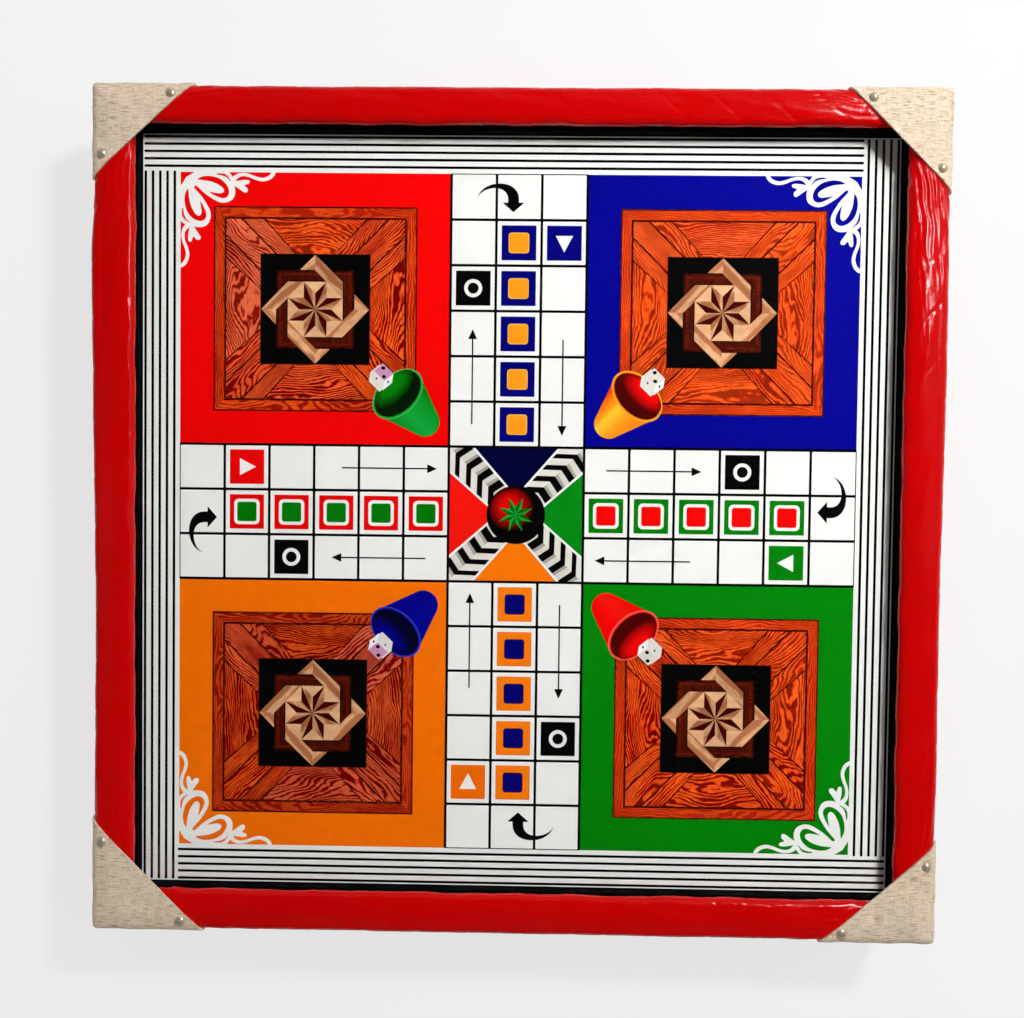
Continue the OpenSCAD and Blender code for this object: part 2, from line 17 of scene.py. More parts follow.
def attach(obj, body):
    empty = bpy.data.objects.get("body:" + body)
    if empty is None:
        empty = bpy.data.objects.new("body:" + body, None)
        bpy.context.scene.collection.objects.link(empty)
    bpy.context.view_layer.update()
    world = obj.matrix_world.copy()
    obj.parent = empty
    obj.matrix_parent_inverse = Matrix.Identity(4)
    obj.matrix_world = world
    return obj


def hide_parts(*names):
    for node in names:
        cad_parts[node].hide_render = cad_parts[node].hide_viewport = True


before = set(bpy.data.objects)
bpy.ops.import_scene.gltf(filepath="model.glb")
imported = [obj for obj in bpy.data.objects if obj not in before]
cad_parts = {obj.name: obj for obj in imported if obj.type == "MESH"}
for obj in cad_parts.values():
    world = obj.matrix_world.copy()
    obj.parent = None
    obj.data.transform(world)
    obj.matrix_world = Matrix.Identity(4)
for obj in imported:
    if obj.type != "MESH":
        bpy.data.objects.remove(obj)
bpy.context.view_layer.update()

# %% [markdown]
# ## Measures
# The same names and values as in the construction model, in millimetres. Distances u run inward from the
# covered outside of the box, and z runs up from the table.

# %%
MM = 0.001
HALF = 305.0
RAIL_IN = 25.05
RIM_W = 29.25
OPENING = 551.5
LID_Z, RAIL_Z = 46.4, 47.4
INK_Z = 67.85
RAIL_TOP, CREST_Z, EDGE_Z = 83.4, 90.4, 89.4
EDGE_R, LIP_R, LIP_FROM = 7.0, 5.2, 80
CROWN_MID, CROWN_HALF = 15.525, 8.525
CORNER_R = 4.0
PATCH_T, PATCH_DROP = 1.2, 34.0
PATCH_X = [86, 88, 78, 78]
PATCH_Y = [86, 78, 78, 72]
PATCH_SIGN = [(-1, -1), (1, -1), (1, 1), (-1, 1)]
TACK_INSET, TACK_FROM_END, TACK_R, TACK_H = 8.0, 21.0, 4.0, 2.4
STRIPE_WHITE, STRIPE_BLACK, STRIPES, MARGIN = 3.45, 1.9, 5, 0.9
BORDER = MARGIN + STRIPES * (STRIPE_WHITE + STRIPE_BLACK)
FIELD = OPENING / 2 - BORDER
CELL = 2 * FIELD / 15
LINE = 1.9
print("cell", round(CELL, 2), "mm, field", round(2 * FIELD, 1), "mm")

# %% [markdown]
# ## Meshes from arrays
# A surface is a grid of points worked out with numpy, and its faces are index arrays. Points go in with
# foreach_set, which takes whole arrays, so no loop runs over single vertices.


# %%
def grid_faces(rows, columns, close_rows=False, close_columns=False):
    """Quads between neighbours of a rows by columns grid: point (r, c) has the index r * columns + c."""
    index = np.arange(rows * columns).reshape(rows, columns)
    if close_rows:
        index = np.concatenate([index, index[:1]])
    if close_columns:
        index = np.concatenate([index, index[:, :1]], axis=1)
    return np.stack([index[:-1, :-1], index[:-1, 1:], index[1:, 1:], index[1:, :-1]], axis=-1).reshape(-1, 4)


def points3(x, y, z):
    """Coordinate arrays of any matching shapes as one array of points."""
    return np.stack(np.broadcast_arrays(x, y, z), axis=-1)


def add_piece(name, mesh, body, nodes):
    """A piece that rides on a body and stands for construction nodes, which it hides; its finish is on the
    mesh already.
    """
    piece = bpy.data.objects.new(name, mesh)
    bpy.context.scene.collection.objects.link(piece)
    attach(piece, body)
    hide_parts(*nodes)
    return piece


def make_piece(name, points, faces, body, material, nodes, uv=None, crease=40, values=None):
    """A piece from points in millimetres and a list of index arrays of any widths. uv holds a point's place
    in the flat cloth and values a number for each face. A corner sharper than crease degrees stays sharp."""
    points = np.asarray(points, float) * MM
    corners = np.concatenate([block.ravel() for block in faces])
    counts = np.concatenate([np.full(len(block), block.shape[1]) for block in faces])
    mesh = bpy.data.meshes.new(name)
    mesh.vertices.add(points.size // 3)
    mesh.vertices.foreach_set("co", points.ravel())
    mesh.loops.add(len(corners))
    mesh.loops.foreach_set("vertex_index", corners)
    mesh.polygons.add(len(counts))
    mesh.polygons.foreach_set("loop_start", np.concatenate([[0], np.cumsum(counts)[:-1]]))
    mesh.update(calc_edges=True)
    mesh.shade_smooth()
    mesh.set_sharp_from_angle(angle=math.radians(crease))
    if uv is not None:
        layer = mesh.uv_layers.new(name="Sheet")
        layer.uv.foreach_set("vector", (uv * MM)[corners].ravel())
    for key, data in (values or {}).items():
        attribute = mesh.attributes.new(key, "FLOAT", "FACE")
        attribute.data.foreach_set("value", data.astype(np.float32))
    mesh.materials.append(material)
    return add_piece(name, mesh, body, nodes)


def reshape(mesh, reach=0, change=None):
    """Join a closed mesh's points within reach metres, apply a change, and turn every face outward."""
    shape = bmesh.new()
    shape.from_mesh(mesh)
    if reach:
        bmesh.ops.remove_doubles(shape, verts=shape.verts, dist=reach)
    if change:
        change(shape)
    bmesh.ops.recalc_face_normals(shape, faces=shape.faces)
    shape.to_mesh(mesh)
    shape.free()


def waves(s, lengths, seed):
    """Smooth waviness: the mean over k of a_k sin(2 pi s / L_k + p_k), with seeded a_k and p_k."""
    rng = np.random.default_rng(seed)
    total = np.zeros_like(np.asarray(s, float))
    for length in lengths:
        total += rng.uniform(0.6, 1.0) * np.sin(2 * np.pi * s / length + rng.uniform(0, 6.28))
    return total / len(lengths)


# %% [markdown]
# ## Nodes
# put() adds one shader node and fills its inputs: a socket is linked, and a constant is set on the input
# itself. The helpers below it are the few nodes that every finish uses.


# %%
def fill(tree, node, inputs):
    """Link sockets and set constants on a node's inputs."""
    for key, value in inputs.items():
        if isinstance(value, bpy.types.NodeSocket):
            tree.links.new(value, node.inputs[key])
        else:
            node.inputs[key].default_value = value
    return node


def put(tree, kind, inputs=None, out=0, **settings):
    """Add a shader node and return one of its outputs."""
    node = tree.nodes.new("ShaderNode" + kind)
    for key, value in settings.items():
        setattr(node, key, value)
    return fill(tree, node, inputs or {}).outputs[out]


def calc(tree, operation, first, *others, clamp=False):
    """A math step on two values, repeated along a longer list."""
    for value in others:
        first = put(tree, "Math", {0: first, 1: value}, operation=operation, use_clamp=clamp)
    return first


def blend_colours(tree, factor, a, b):
    """Colour a where factor is 0 and b where it is 1."""
    return put(tree, "Mix", {0: factor, 6: a, 7: b}, out=2, data_type="RGBA")


def spread(tree, value, low, high, to_low, to_high):
    """Map low..high to to_low..to_high, held at both ends."""
    return put(tree, "MapRange", {0: value, 1: low, 2: high, 3: to_low, 4: to_high})


def noise(tree, vector, scale, detail=3.0, roughness=0.55, distortion=0.0):
    """Fractal noise from 0 to 1 at scale cells per metre."""
    return put(tree, "TexNoise", {"Vector": vector, "Scale": scale, "Detail": detail,
                                  "Roughness": roughness, "Distortion": distortion})


def stretched(tree, vector, scale):
    """The vector scaled by axis."""
    return put(tree, "Mapping", {"Vector": vector, "Scale": scale})


def bump(tree, height, distance, strength=1.0, **more):
    """Relief of the given depth in metres."""
    return put(tree, "Bump", {"Height": height, "Distance": distance, "Strength": strength, **more})


def ramp(tree, factor, stops):
    """A colour ramp through (position, colour) stops."""
    node = tree.nodes.new("ShaderNodeValToRGB")
    tree.links.new(factor, node.inputs[0])
    elements = node.color_ramp.elements
    for place, colour in stops[2:]:
        elements.new(place)
    for element, (place, colour) in zip(elements, stops):
        element.position = place
        element.color = colour
    return node.outputs[0]


def srgb(r, g, b):
    """A colour given as 0..255 screen values, in linear light: ((c + 0.055) / 1.055) ^ 2.4."""
    c = np.array([r, g, b]) / 255
    return (*np.where(c <= 0.04045, c / 12.92, ((c + 0.055) / 1.055) ** 2.4), 1.0)


def new_material(name):
    """An empty material and its node tree, with the object's own coordinates."""
    material = bpy.data.materials.new(name)
    material.use_nodes = True
    tree = material.node_tree
    tree.nodes.clear()
    return material, tree, put(tree, "TexCoord", out=3)


def output(tree, shader, kind="Material"):
    """Wire a shader to the tree's end."""
    tree.links.new(shader, tree.nodes.new("ShaderNodeOutput" + kind).inputs["Surface"])


def surface(tree, **inputs):
    """A surface shader wired to the output; names are the shader's inputs with _ for spaces."""
    output(tree, put(tree, "BsdfPrincipled", {key.replace("_", " "): value for key, value in inputs.items()}))


def new_group(name, inputs, outputs):
    """An empty node group with the given sockets: (name, kind, default) and (name, kind)."""
    tree = bpy.data.node_groups.new(name, "ShaderNodeTree")
    for label, kind, default in inputs:
        socket = tree.interface.new_socket(label, in_out="INPUT", socket_type="NodeSocket" + kind)
        if default is not None:
            socket.default_value = default
    for label, kind in outputs:
        tree.interface.new_socket(label, in_out="OUTPUT", socket_type="NodeSocket" + kind)
    return tree, tree.nodes.new("NodeGroupInput").outputs, tree.nodes.new("NodeGroupOutput").inputs


def use_group(tree, group, inputs, out=0):
    """An instance of a node group."""
    node = tree.nodes.new("ShaderNodeGroup")
    node.node_tree = group
    return fill(tree, node, inputs).outputs[out]


# %% [markdown]
# ## Shared effects
# Three groups give what every real surface has: a little unevenness of colour, of gloss and of height.
# They put out a colour, a value and a normal, and the shader stays in each material.

# %%
UNEVEN, given, made = new_group(
    "uneven colour",
    [("Vector", "Vector", None), ("Colour", "Color", (0.5, 0.5, 0.5, 1)), ("Amount", "Float", 0.1),
     ("Scale", "Float", 20.0)],
    [("Colour", "Color")],
)
broad = noise(UNEVEN, given["Vector"], given["Scale"], 4.0)
shift = calc(UNEVEN, "MULTIPLY", calc(UNEVEN, "SUBTRACT", broad, 0.5), given["Amount"], 2.0)
level = calc(UNEVEN, "ADD", shift, 1.0)
scaled = put(UNEVEN, "VectorMath", {0: given["Colour"], "Scale": level}, operation="SCALE")
UNEVEN.links.new(scaled, made["Colour"])

GLOSS, given, made = new_group(
    "uneven gloss",
    [("Vector", "Vector", None), ("Low", "Float", 0.2), ("High", "Float", 0.4), ("Scale", "Float", 30.0)],
    [("Roughness", "Float")],
)
smear = noise(GLOSS, given["Vector"], given["Scale"], 5.0, 0.65)
GLOSS.links.new(spread(GLOSS, smear, 0.3, 0.7, given["Low"], given["High"]), made["Roughness"])

RELIEF, given, made = new_group(
    "fine relief",
    [("Vector", "Vector", None), ("Depth", "Float", 0.0001), ("Scale", "Float", 800.0)],
    [("Normal", "Vector")],
)
RELIEF.links.new(
    bump(RELIEF, noise(RELIEF, given["Vector"], given["Scale"], 3.0), given["Depth"]), made["Normal"]
)


def uneven(tree, place, colour, amount, scale):
    """The uneven colour group on a colour."""
    return use_group(tree, UNEVEN, {"Vector": place, "Colour": colour, "Amount": amount, "Scale": scale})


def gloss(tree, place, low, high, scale):
    """The uneven gloss group between two values of roughness."""
    return use_group(tree, GLOSS, {"Vector": place, "Low": low, "High": high, "Scale": scale})


def relief(tree, place, depth, scale):
    """The fine relief group, its depth in metres."""
    return use_group(tree, RELIEF, {"Vector": place, "Depth": depth, "Scale": scale})


def plain_finish(name, colour, amount, scale, rough, fine, metal=0.0, **more):
    """A finish of one stuff: rough is the lowest and highest roughness, fine the relief's depth and scale."""
    material, tree, place = new_material(name)
    surface(tree, Base_Color=uneven(tree, place, colour, amount, scale),
            Roughness=gloss(tree, place, *rough, scale * 1.7), Normal=relief(tree, place, *fine),
            Metallic=metal, **more)
    return material


# %% [markdown]
# ## Red vinyl
# Shiny plasticised sheet: a saturated red under a smooth skin, with a faint orange peel that breaks up the
# lamps' reflections, and smears where hands have rubbed it.

# %%
RED_VINYL, tree, place = new_material("red vinyl")
peel = noise(tree, place, 420.0, 3.0, 0.5)
creases = bump(tree, noise(tree, place, 95.0, 4.0, 0.6, 0.6), 0.00035, 0.5)
surface(
    tree,
    Base_Color=uneven(tree, place, srgb(205, 0, 1), 0.14, 14.0),
    Roughness=gloss(tree, place, 0.1, 0.2, 40.0),
    Normal=bump(tree, peel, 0.00005, 0.6, Normal=creases),
    IOR=1.5,
    Specular_IOR_Level=0.35,
)

# %% [markdown]
# ## Linen-grained leathercloth
# The grain is pressed into the cloth's coating along its own two directions, so it is worked out in the
# sheet's flat coordinates: thin slubs of random length each way, one set slightly deeper than the other.

# %%
LEATHERCLOTH, tree, place = new_material("linen leathercloth")
flat = put(tree, "UVMap", uv_map="Sheet")
long_slubs = noise(tree, stretched(tree, flat, (1500.0, 120.0, 1.0)), 1.0, 4.0, 0.6)
cross_slubs = noise(tree, stretched(tree, flat, (150.0, 1500.0, 1.0)), 1.0, 4.0, 0.6)
grooves = calc(tree, "MAXIMUM", spread(tree, long_slubs, 0.34, 0.5, 1.0, 0.0),
               spread(tree, cross_slubs, 0.32, 0.46, 0.8, 0.0))
threads = calc(tree, "SUBTRACT", 1.0, grooves)
# The ramp paints the grooves darker and the thread tops lighter, as painted shade and highlight over the
# grain's relief.
tone = ramp(tree, threads, [(0.0, srgb(172, 142, 106)), (0.5, srgb(214, 189, 156)),
                            (1.0, srgb(235, 217, 192))])
surface(
    tree,
    Base_Color=uneven(tree, place, tone, 0.12, 35.0),
    Roughness=spread(tree, threads, 0.0, 1.0, 0.6, 0.45),
    Normal=bump(tree, threads, 0.0002, 0.7),
    IOR=1.48,
)

# %% [markdown]
# ## Woods
# Grain is noise stretched along the board: long narrow fibres, broad bands of growth, and dark pores. A
# wood is made once for each direction that its boards run in.


# %%
def wood(name, light, dark, along_axis, ply=False):
    """Boards with their grain along one axis; ply adds glue lines every 1.2 mm up the edge."""
    material, tree, place = new_material(name)
    drift = put(tree, "VectorMath", {0: put(tree, "TexNoise", {"Vector": place, "Scale": 9.0, "Detail": 2.0},
                                            out=1), "Scale": 0.02}, operation="SCALE")
    warped = put(tree, "VectorMath", {0: place, 1: drift}, operation="ADD")

    def drawn(across, along, *more):
        """Noise at across cells per metre, and along cells per metre on the grain's axis."""
        scale = [across] * 3
        scale[along_axis] = along
        return noise(tree, stretched(tree, warped, scale), 1.0, *more)

    grain = calc(tree, "ADD", calc(tree, "MULTIPLY", drawn(70.0, 4.0, 5.0, 0.6), 0.75),
                 calc(tree, "MULTIPLY", drawn(1100.0, 30.0, 2.0), 0.3))
    tone = ramp(tree, grain, [(0.32, dark), (0.5, tuple(0.5 * np.add(light, dark))), (0.68, light)])
    if ply:
        layer = calc(tree, "PINGPONG", put(tree, "SeparateXYZ", {0: place}, out=2), 0.0012)
        tone = blend_colours(tree, spread(tree, layer, 0.0, 0.0003, 0.35, 0.0), tone, dark)
    surface(
        tree,
        Base_Color=uneven(tree, place, tone, 0.15, 6.0),
        Roughness=gloss(tree, place, 0.55, 0.75, 60.0),
        Normal=bump(tree, grain, 0.00012, 0.6),
    )
    return material


PINE_X = wood("pine along the front", srgb(224, 184, 128), srgb(186, 134, 78), 0)
PINE_Y = wood("pine along the sides", srgb(224, 184, 128), srgb(186, 134, 78), 1)
PLYWOOD = wood("plywood", srgb(222, 190, 146), srgb(178, 138, 92), 0, ply=True)

# %% [markdown]
# ## Metals, rubber, black bead and glass
# The tacks and hooks are nickel plated, dulled by handling, and the hinges zinc plated steel. The bead that
# holds the glass is matt black plastic. Lamps have a clear way through the glass to the print, as their
# light would otherwise have to be found by chance.

# %%
NICKEL = plain_finish("nickel plate", srgb(238, 222, 194), 0.1, 220.0, (0.24, 0.4), (0.00002, 900.0), 0.7)
HINGE_STEEL = plain_finish("zinc plated steel", srgb(196, 194, 188), 0.16, 90.0, (0.28, 0.5),
                           (0.00003, 1500.0), 1.0)
SCREW_STEEL = plain_finish("screw steel", srgb(188, 184, 176), 0.16, 300.0, (0.25, 0.45),
                           (0.00003, 1800.0), 1.0)
RUBBER = plain_finish("black rubber", srgb(34, 33, 32), 0.2, 150.0, (0.6, 0.8), (0.00008, 900.0))
BLACK_BEAD = plain_finish("black bead", srgb(3, 3, 3), 0.3, 60.0, (0.6, 0.8), (0.00001, 260.0),
                          Specular_IOR_Level=0.05)

GLASS, tree, place = new_material("clear glass")
pane = put(tree, "BsdfPrincipled", {
    "Base Color": (0.992, 1.0, 0.992, 1), "Transmission Weight": 1.0, "Metallic": 0.0, "IOR": 1.5,
    "Roughness": gloss(tree, place, 0.0, 0.02, 25.0)})
clear = put(tree, "BsdfTransparent", {"Color": (0.98, 0.982, 0.975, 1)})
output(tree, put(tree, "MixShader", {0: put(tree, "LightPath", out=1), 1: pane, 2: clear}))

# %% [markdown]
# ## Print: inks
# Each ink is a flat film with a little unevenness and the paper's tooth. A face attribute, tone, makes one
# ink darker or lighter from shape to shape: 0 is its dark version, 0.5 the ink itself, and 1 its light one.


# %%
def print_surface(tree, place, colour, amount, scale):
    """What all printing shares: a mottled colour, nearly matt, on the paper's tooth."""
    surface(tree, Base_Color=uneven(tree, place, colour, amount, scale),
            Roughness=gloss(tree, place, 0.5, 0.6, 200.0), Normal=relief(tree, place, 0.00002, 1500.0),
            Specular_IOR_Level=0.02)


def ink(name, stops):
    """A printed ink: a ramp over the shape's tone."""
    material, tree, place = new_material(name)
    tone = put(tree, "Attribute", attribute_name="tone", out=2)
    colours = ramp(tree, tone, [(at, srgb(*colour)) for at, colour in stops])
    print_surface(tree, place, colours, 0.08, 120.0)
    return material


INKS = {hue: ink(hue + " ink", stops) for hue, stops in {
    "black": [(0.0, (0, 0, 0)), (0.5, (2, 2, 2)), (0.75, (128, 118, 108)), (1.0, (233, 229, 222))],
    "red": [(0.0, (52, 0, 0)), (0.5, (240, 2, 2)), (0.8, (255, 92, 52)), (1.0, (204, 150, 194))],
    "blue": [(0.0, (0, 0, 18)), (0.5, (1, 1, 138)), (0.8, (30, 44, 196)), (1.0, (96, 126, 226))],
    "green": [(0.0, (0, 0, 0)), (0.5, (1, 128, 6)), (0.8, (24, 184, 74)), (1.0, (150, 226, 160))],
    "orange": [(0.0, (100, 8, 0)), (0.3, (226, 52, 8)), (0.5, (248, 116, 2)), (0.75, (255, 156, 26)),
               (0.9, (248, 198, 48)), (1.0, (255, 226, 160))],
}.items()}
PAPER = plain_finish("print paper", srgb(246, 245, 243), 0.03, 60.0, (0.5, 0.6), (0.00002, 1500.0),
                     Specular_IOR_Level=0.02)

# %% [markdown]
# The wooden panels of the print are drawn as planks. Each plank carries its grain's direction and a number
# of its own, so one material gives every plank another piece of figured oak that runs its own way.


# %%
def printed_wood(name, dark, middle, light, pink, spacing, figure):
    """Plank grain: with c and s the cosine and sine of the plank's direction, the coordinate along it is
    x c + y s and the one across it y c - x s. Growth lines lie where (across + bend) / spacing is whole,
    the bend being noise drawn out along the plank; a second noise makes them swell and thin out."""
    material, tree, place = new_material(name)

    def given(key):
        return put(tree, "Attribute", attribute_name=key, out=2)

    x, y = (put(tree, "SeparateXYZ", {0: place}, out=axis) for axis in (0, 1))
    cosine, sine, plank, tone, tint = (given(key) for key in ("grain_x", "grain_y", "plank", "tone", "blush"))
    along = calc(tree, "ADD", calc(tree, "MULTIPLY", x, cosine), calc(tree, "MULTIPLY", y, sine))
    across = calc(tree, "SUBTRACT", calc(tree, "MULTIPLY", y, cosine), calc(tree, "MULTIPLY", x, sine))
    own = calc(tree, "MULTIPLY", plank, 3.7)

    def drawn_out(share, scale, detail, roughness=0.5):
        """Noise in the plank's own directions, slower along it."""
        way = put(tree, "CombineXYZ", {0: calc(tree, "MULTIPLY", along, share), 1: across, 2: own})
        return noise(tree, way, scale, detail, roughness)

    def bent(share, scale, detail, by):
        """A shift of up to half of by metres to either side."""
        return calc(tree, "MULTIPLY", calc(tree, "SUBTRACT", drawn_out(share, scale, detail), 0.5), by)

    shifted = calc(tree, "ADD", across, bent(0.35, 34.0, 1.0, figure), bent(0.4, 190.0, 2.0, 0.0042))
    phase = calc(tree, "DIVIDE", shifted, spacing)
    line = calc(tree, "MULTIPLY", calc(tree, "PINGPONG", phase, 0.5), 2.0)
    width = spread(tree, drawn_out(0.25, 120.0, 2.0), 0.3, 0.7, 0.1, 0.72)
    grain = spread(tree, line, calc(tree, "SUBTRACT", width, 0.16), calc(tree, "ADD", width, 0.24), 0.0, 1.0)
    fleck = spread(tree, drawn_out(0.14, 900.0, 2.0, 0.6), 0.3, 0.62, 0.45, 1.0)
    cloud = spread(tree, drawn_out(0.4, 60.0, 3.0), 0.3, 0.7, 0.62, 1.0)
    film = ramp(tree, calc(tree, "MULTIPLY", grain, fleck, cloud),
                [(0.02, dark), (0.3, middle), (0.78, light)])
    film = blend_colours(tree, calc(tree, "MULTIPLY", tint, grain, cloud), film, pink)
    film = blend_colours(tree, calc(tree, "MULTIPLY", tint, -1.0, clamp=True), film, srgb(196, 44, 10))
    film = blend_colours(tree, spread(tree, tone, 0.0, 0.5, 1.0, 0.0), film, srgb(20, 2, 1))
    film = blend_colours(tree, spread(tree, tone, 0.5, 1.0, 0.0, 0.85), film, light)
    print_surface(tree, place, film, 0.3, 45.0)
    return material


INKS["oak"] = printed_wood("oak ink", srgb(118, 1, 0), srgb(196, 24, 2), srgb(244, 100, 30),
                           srgb(214, 126, 100), 0.0022, 0.05)
INKS["tan"] = printed_wood("tan ink", srgb(182, 112, 72), srgb(194, 126, 84), srgb(232, 182, 138),
                           srgb(226, 170, 140), 0.009, 0.01)

# %% [markdown]
# ## Print: shapes
# The sheet is drawn like a poster: shapes are painted one over another, each with an ink, or as bare paper.
# Shapes are lists of points in millimetres from the middle of the board.

# %%
PAINTED = []


def paint(hue, points, tone=0.5, grain=0.0, plank=0, blush=0.0):
    """Lay a shape on the sheet; hue is an ink or "paper", grain the plank's direction in degrees, and
    blush how pink the plank is, or below 0 how plain. A shape that was cut away wholly is left out."""
    points = np.asarray(points, float)
    if len(points) < 3:
        return
    following = np.roll(points, -1, axis=0)
    area = np.sum(points[:, 0] * following[:, 1] - following[:, 0] * points[:, 1])
    PAINTED.append((hue, points if area > 0 else points[::-1], tone, math.radians(grain), plank, blush))


def turned(points, k):
    """Points turned by k quarter turns clockwise about the middle."""
    c, s = round(math.cos(-k * math.pi / 2)), round(math.sin(-k * math.pi / 2))
    return np.asarray(points, float) @ np.array([[c, s], [-s, c]])


def box(x, y, w, h, r=0.0, steps=4):
    """A rectangle about (x, y) with corners of radius r."""
    if r == 0:
        return np.array([(x - w / 2, y - h / 2), (x + w / 2, y - h / 2), (x + w / 2, y + h / 2),
                         (x - w / 2, y + h / 2)])
    angles = np.radians(np.concatenate([np.linspace(a, a + 90, steps + 1) for a in (0, 90, 180, 270)]))
    cx = np.repeat([1, -1, -1, 1], steps + 1) * (w / 2 - r)
    cy = np.repeat([1, 1, -1, -1], steps + 1) * (h / 2 - r)
    return np.stack([x + cx + r * np.cos(angles), y + cy + r * np.sin(angles)], axis=1)


def oval(x, y, a, b, turn=0.0, steps=40, start=0.0, stop=360.0):
    """An ellipse, or an arc of one, with half axes a and b, turned by turn degrees."""
    t = np.radians(np.linspace(start, stop, steps, endpoint=stop - start < 360))
    px, py = a * np.cos(t), b * np.sin(t)
    c, s = math.cos(math.radians(turn)), math.sin(math.radians(turn))
    return np.stack([x + px * c - py * s, y + px * s + py * c], axis=1)


def curve(a, b, c, d, steps=12):
    """A cubic curve: (1-t)^3 a + 3 (1-t)^2 t b + 3 (1-t) t^2 c + t^3 d."""
    t = np.linspace(0, 1, steps)[:, None]
    a, b, c, d = (np.asarray(p, float) for p in (a, b, c, d))
    return (1 - t) ** 3 * a + 3 * (1 - t) ** 2 * t * b + 3 * (1 - t) * t ** 2 * c + t ** 3 * d


def smooth(points, closed=False, steps=6):
    """A curve through the points: from b to c it is the cubic whose end tangents are half the way from
    the point before to the point after, (c - a) / 2 and (d - b) / 2."""
    p = np.asarray(points, float)
    ends = (p[-1:], p[:2]) if closed else (2 * p[:1] - p[1:2], 2 * p[-1:] - p[-2:-1])
    p = np.concatenate([ends[0], p, ends[1]])
    t = np.linspace(0, 1, steps, endpoint=False)[None, :, None]
    a, b, c, d = p[:-3, None], p[1:-2, None], p[2:-1, None], p[3:, None]
    line = b + 0.5 * ((c - a) * t + (2 * a - 5 * b + 4 * c - d) * t ** 2 + (3 * b - a - 3 * c + d) * t ** 3)
    line = line.reshape(-1, 2)
    return line if closed else np.concatenate([line, p[-2:-1]])


def stroke(line, widths):
    """A band along a line: its points moved by half the width to either side. The width changes evenly
    from one of the widths to the next."""
    line = np.asarray(line, float)
    step = np.gradient(line, axis=0)
    side = np.stack([-step[:, 1], step[:, 0]], axis=1) / np.linalg.norm(step, axis=1)[:, None]
    half = np.interp(np.linspace(0, 1, len(line)), np.linspace(0, 1, len(widths)), widths)[:, None] / 2
    return np.concatenate([line + side * half, (line - side * half)[::-1]])


def placer(k, scale, origin, along, over):
    """A function that places shapes drawn in units of scale: their x runs along one direction from the
    origin and their y over another, and then all is turned by k quarter turns."""
    axes = np.array([along, over], float) * scale
    return lambda shape: turned(np.asarray(shape, float) @ axes + origin, k)


def cell_at(column, row):
    """The middle of a cell; column 0 is the left one and row 0 the back one."""
    return np.array([(column - 7) * CELL, (7 - row) * CELL])


# %% [markdown]
# Border, fields and cells. The border's black stripes run like a pinwheel: on each side they run on to one
# corner and stop short at the other. Each of the four homes is drawn in the back left place and turned.

# %%
HOMES = ["red", "blue", "green", "orange"]
INWARD = np.array([1.0, -1.0]) / math.sqrt(2)
ACROSS = np.array([1.0, 1.0]) / math.sqrt(2)
WHOLE = OPENING / 2 + 3
paint("black", box(0, 0, 2 * WHOLE, 2 * WHOLE), 0.3)
paint("paper", box(0, 0, OPENING, OPENING))
for k in range(4):
    for n in range(1, STRIPES + 1):
        near = FIELD + n * STRIPE_WHITE + (n - 1) * STRIPE_BLACK
        left, right = -OPENING / 2 + MARGIN, FIELD + MARGIN
        stripe = box((left + right) / 2, near + STRIPE_BLACK / 2, right - left, STRIPE_BLACK, 0.6, 3)
        paint("black", turned(stripe, k), 0.5)
paint("black", box(0, 0, 2 * FIELD + 0.5, 3 * CELL + 0.5), 0.25)
paint("black", box(0, 0, 3 * CELL + 0.5, 2 * FIELD + 0.5), 0.25)
for k, hue in enumerate(HOMES):
    paint(hue, turned(box(-4.5 * CELL, 4.5 * CELL, 6 * CELL, 6 * CELL), k))
paint("black", box(0, 0, 15 * CELL, 3 * CELL + LINE), 0.4)
paint("black", box(0, 0, 3 * CELL + LINE, 15 * CELL), 0.4)
for k in range(4):
    for column in range(6):
        for row in (6, 7, 8):
            x, y = cell_at(column, row)
            trim = 0.45 if column == 0 else LINE / 2
            x0, x1 = x - CELL / 2 + trim, x + CELL / 2 - LINE / 2
            paint("paper", turned(box((x0 + x1) / 2, y, x1 - x0, CELL - LINE, 0.5, 2), k))
print(len(PAINTED), "shapes in border, fields and cells")

# %% [markdown]
# Coloured squares, start and stop squares and arrows. The start and stop squares carry plain signs: a
# triangle that points the way, and a ring.

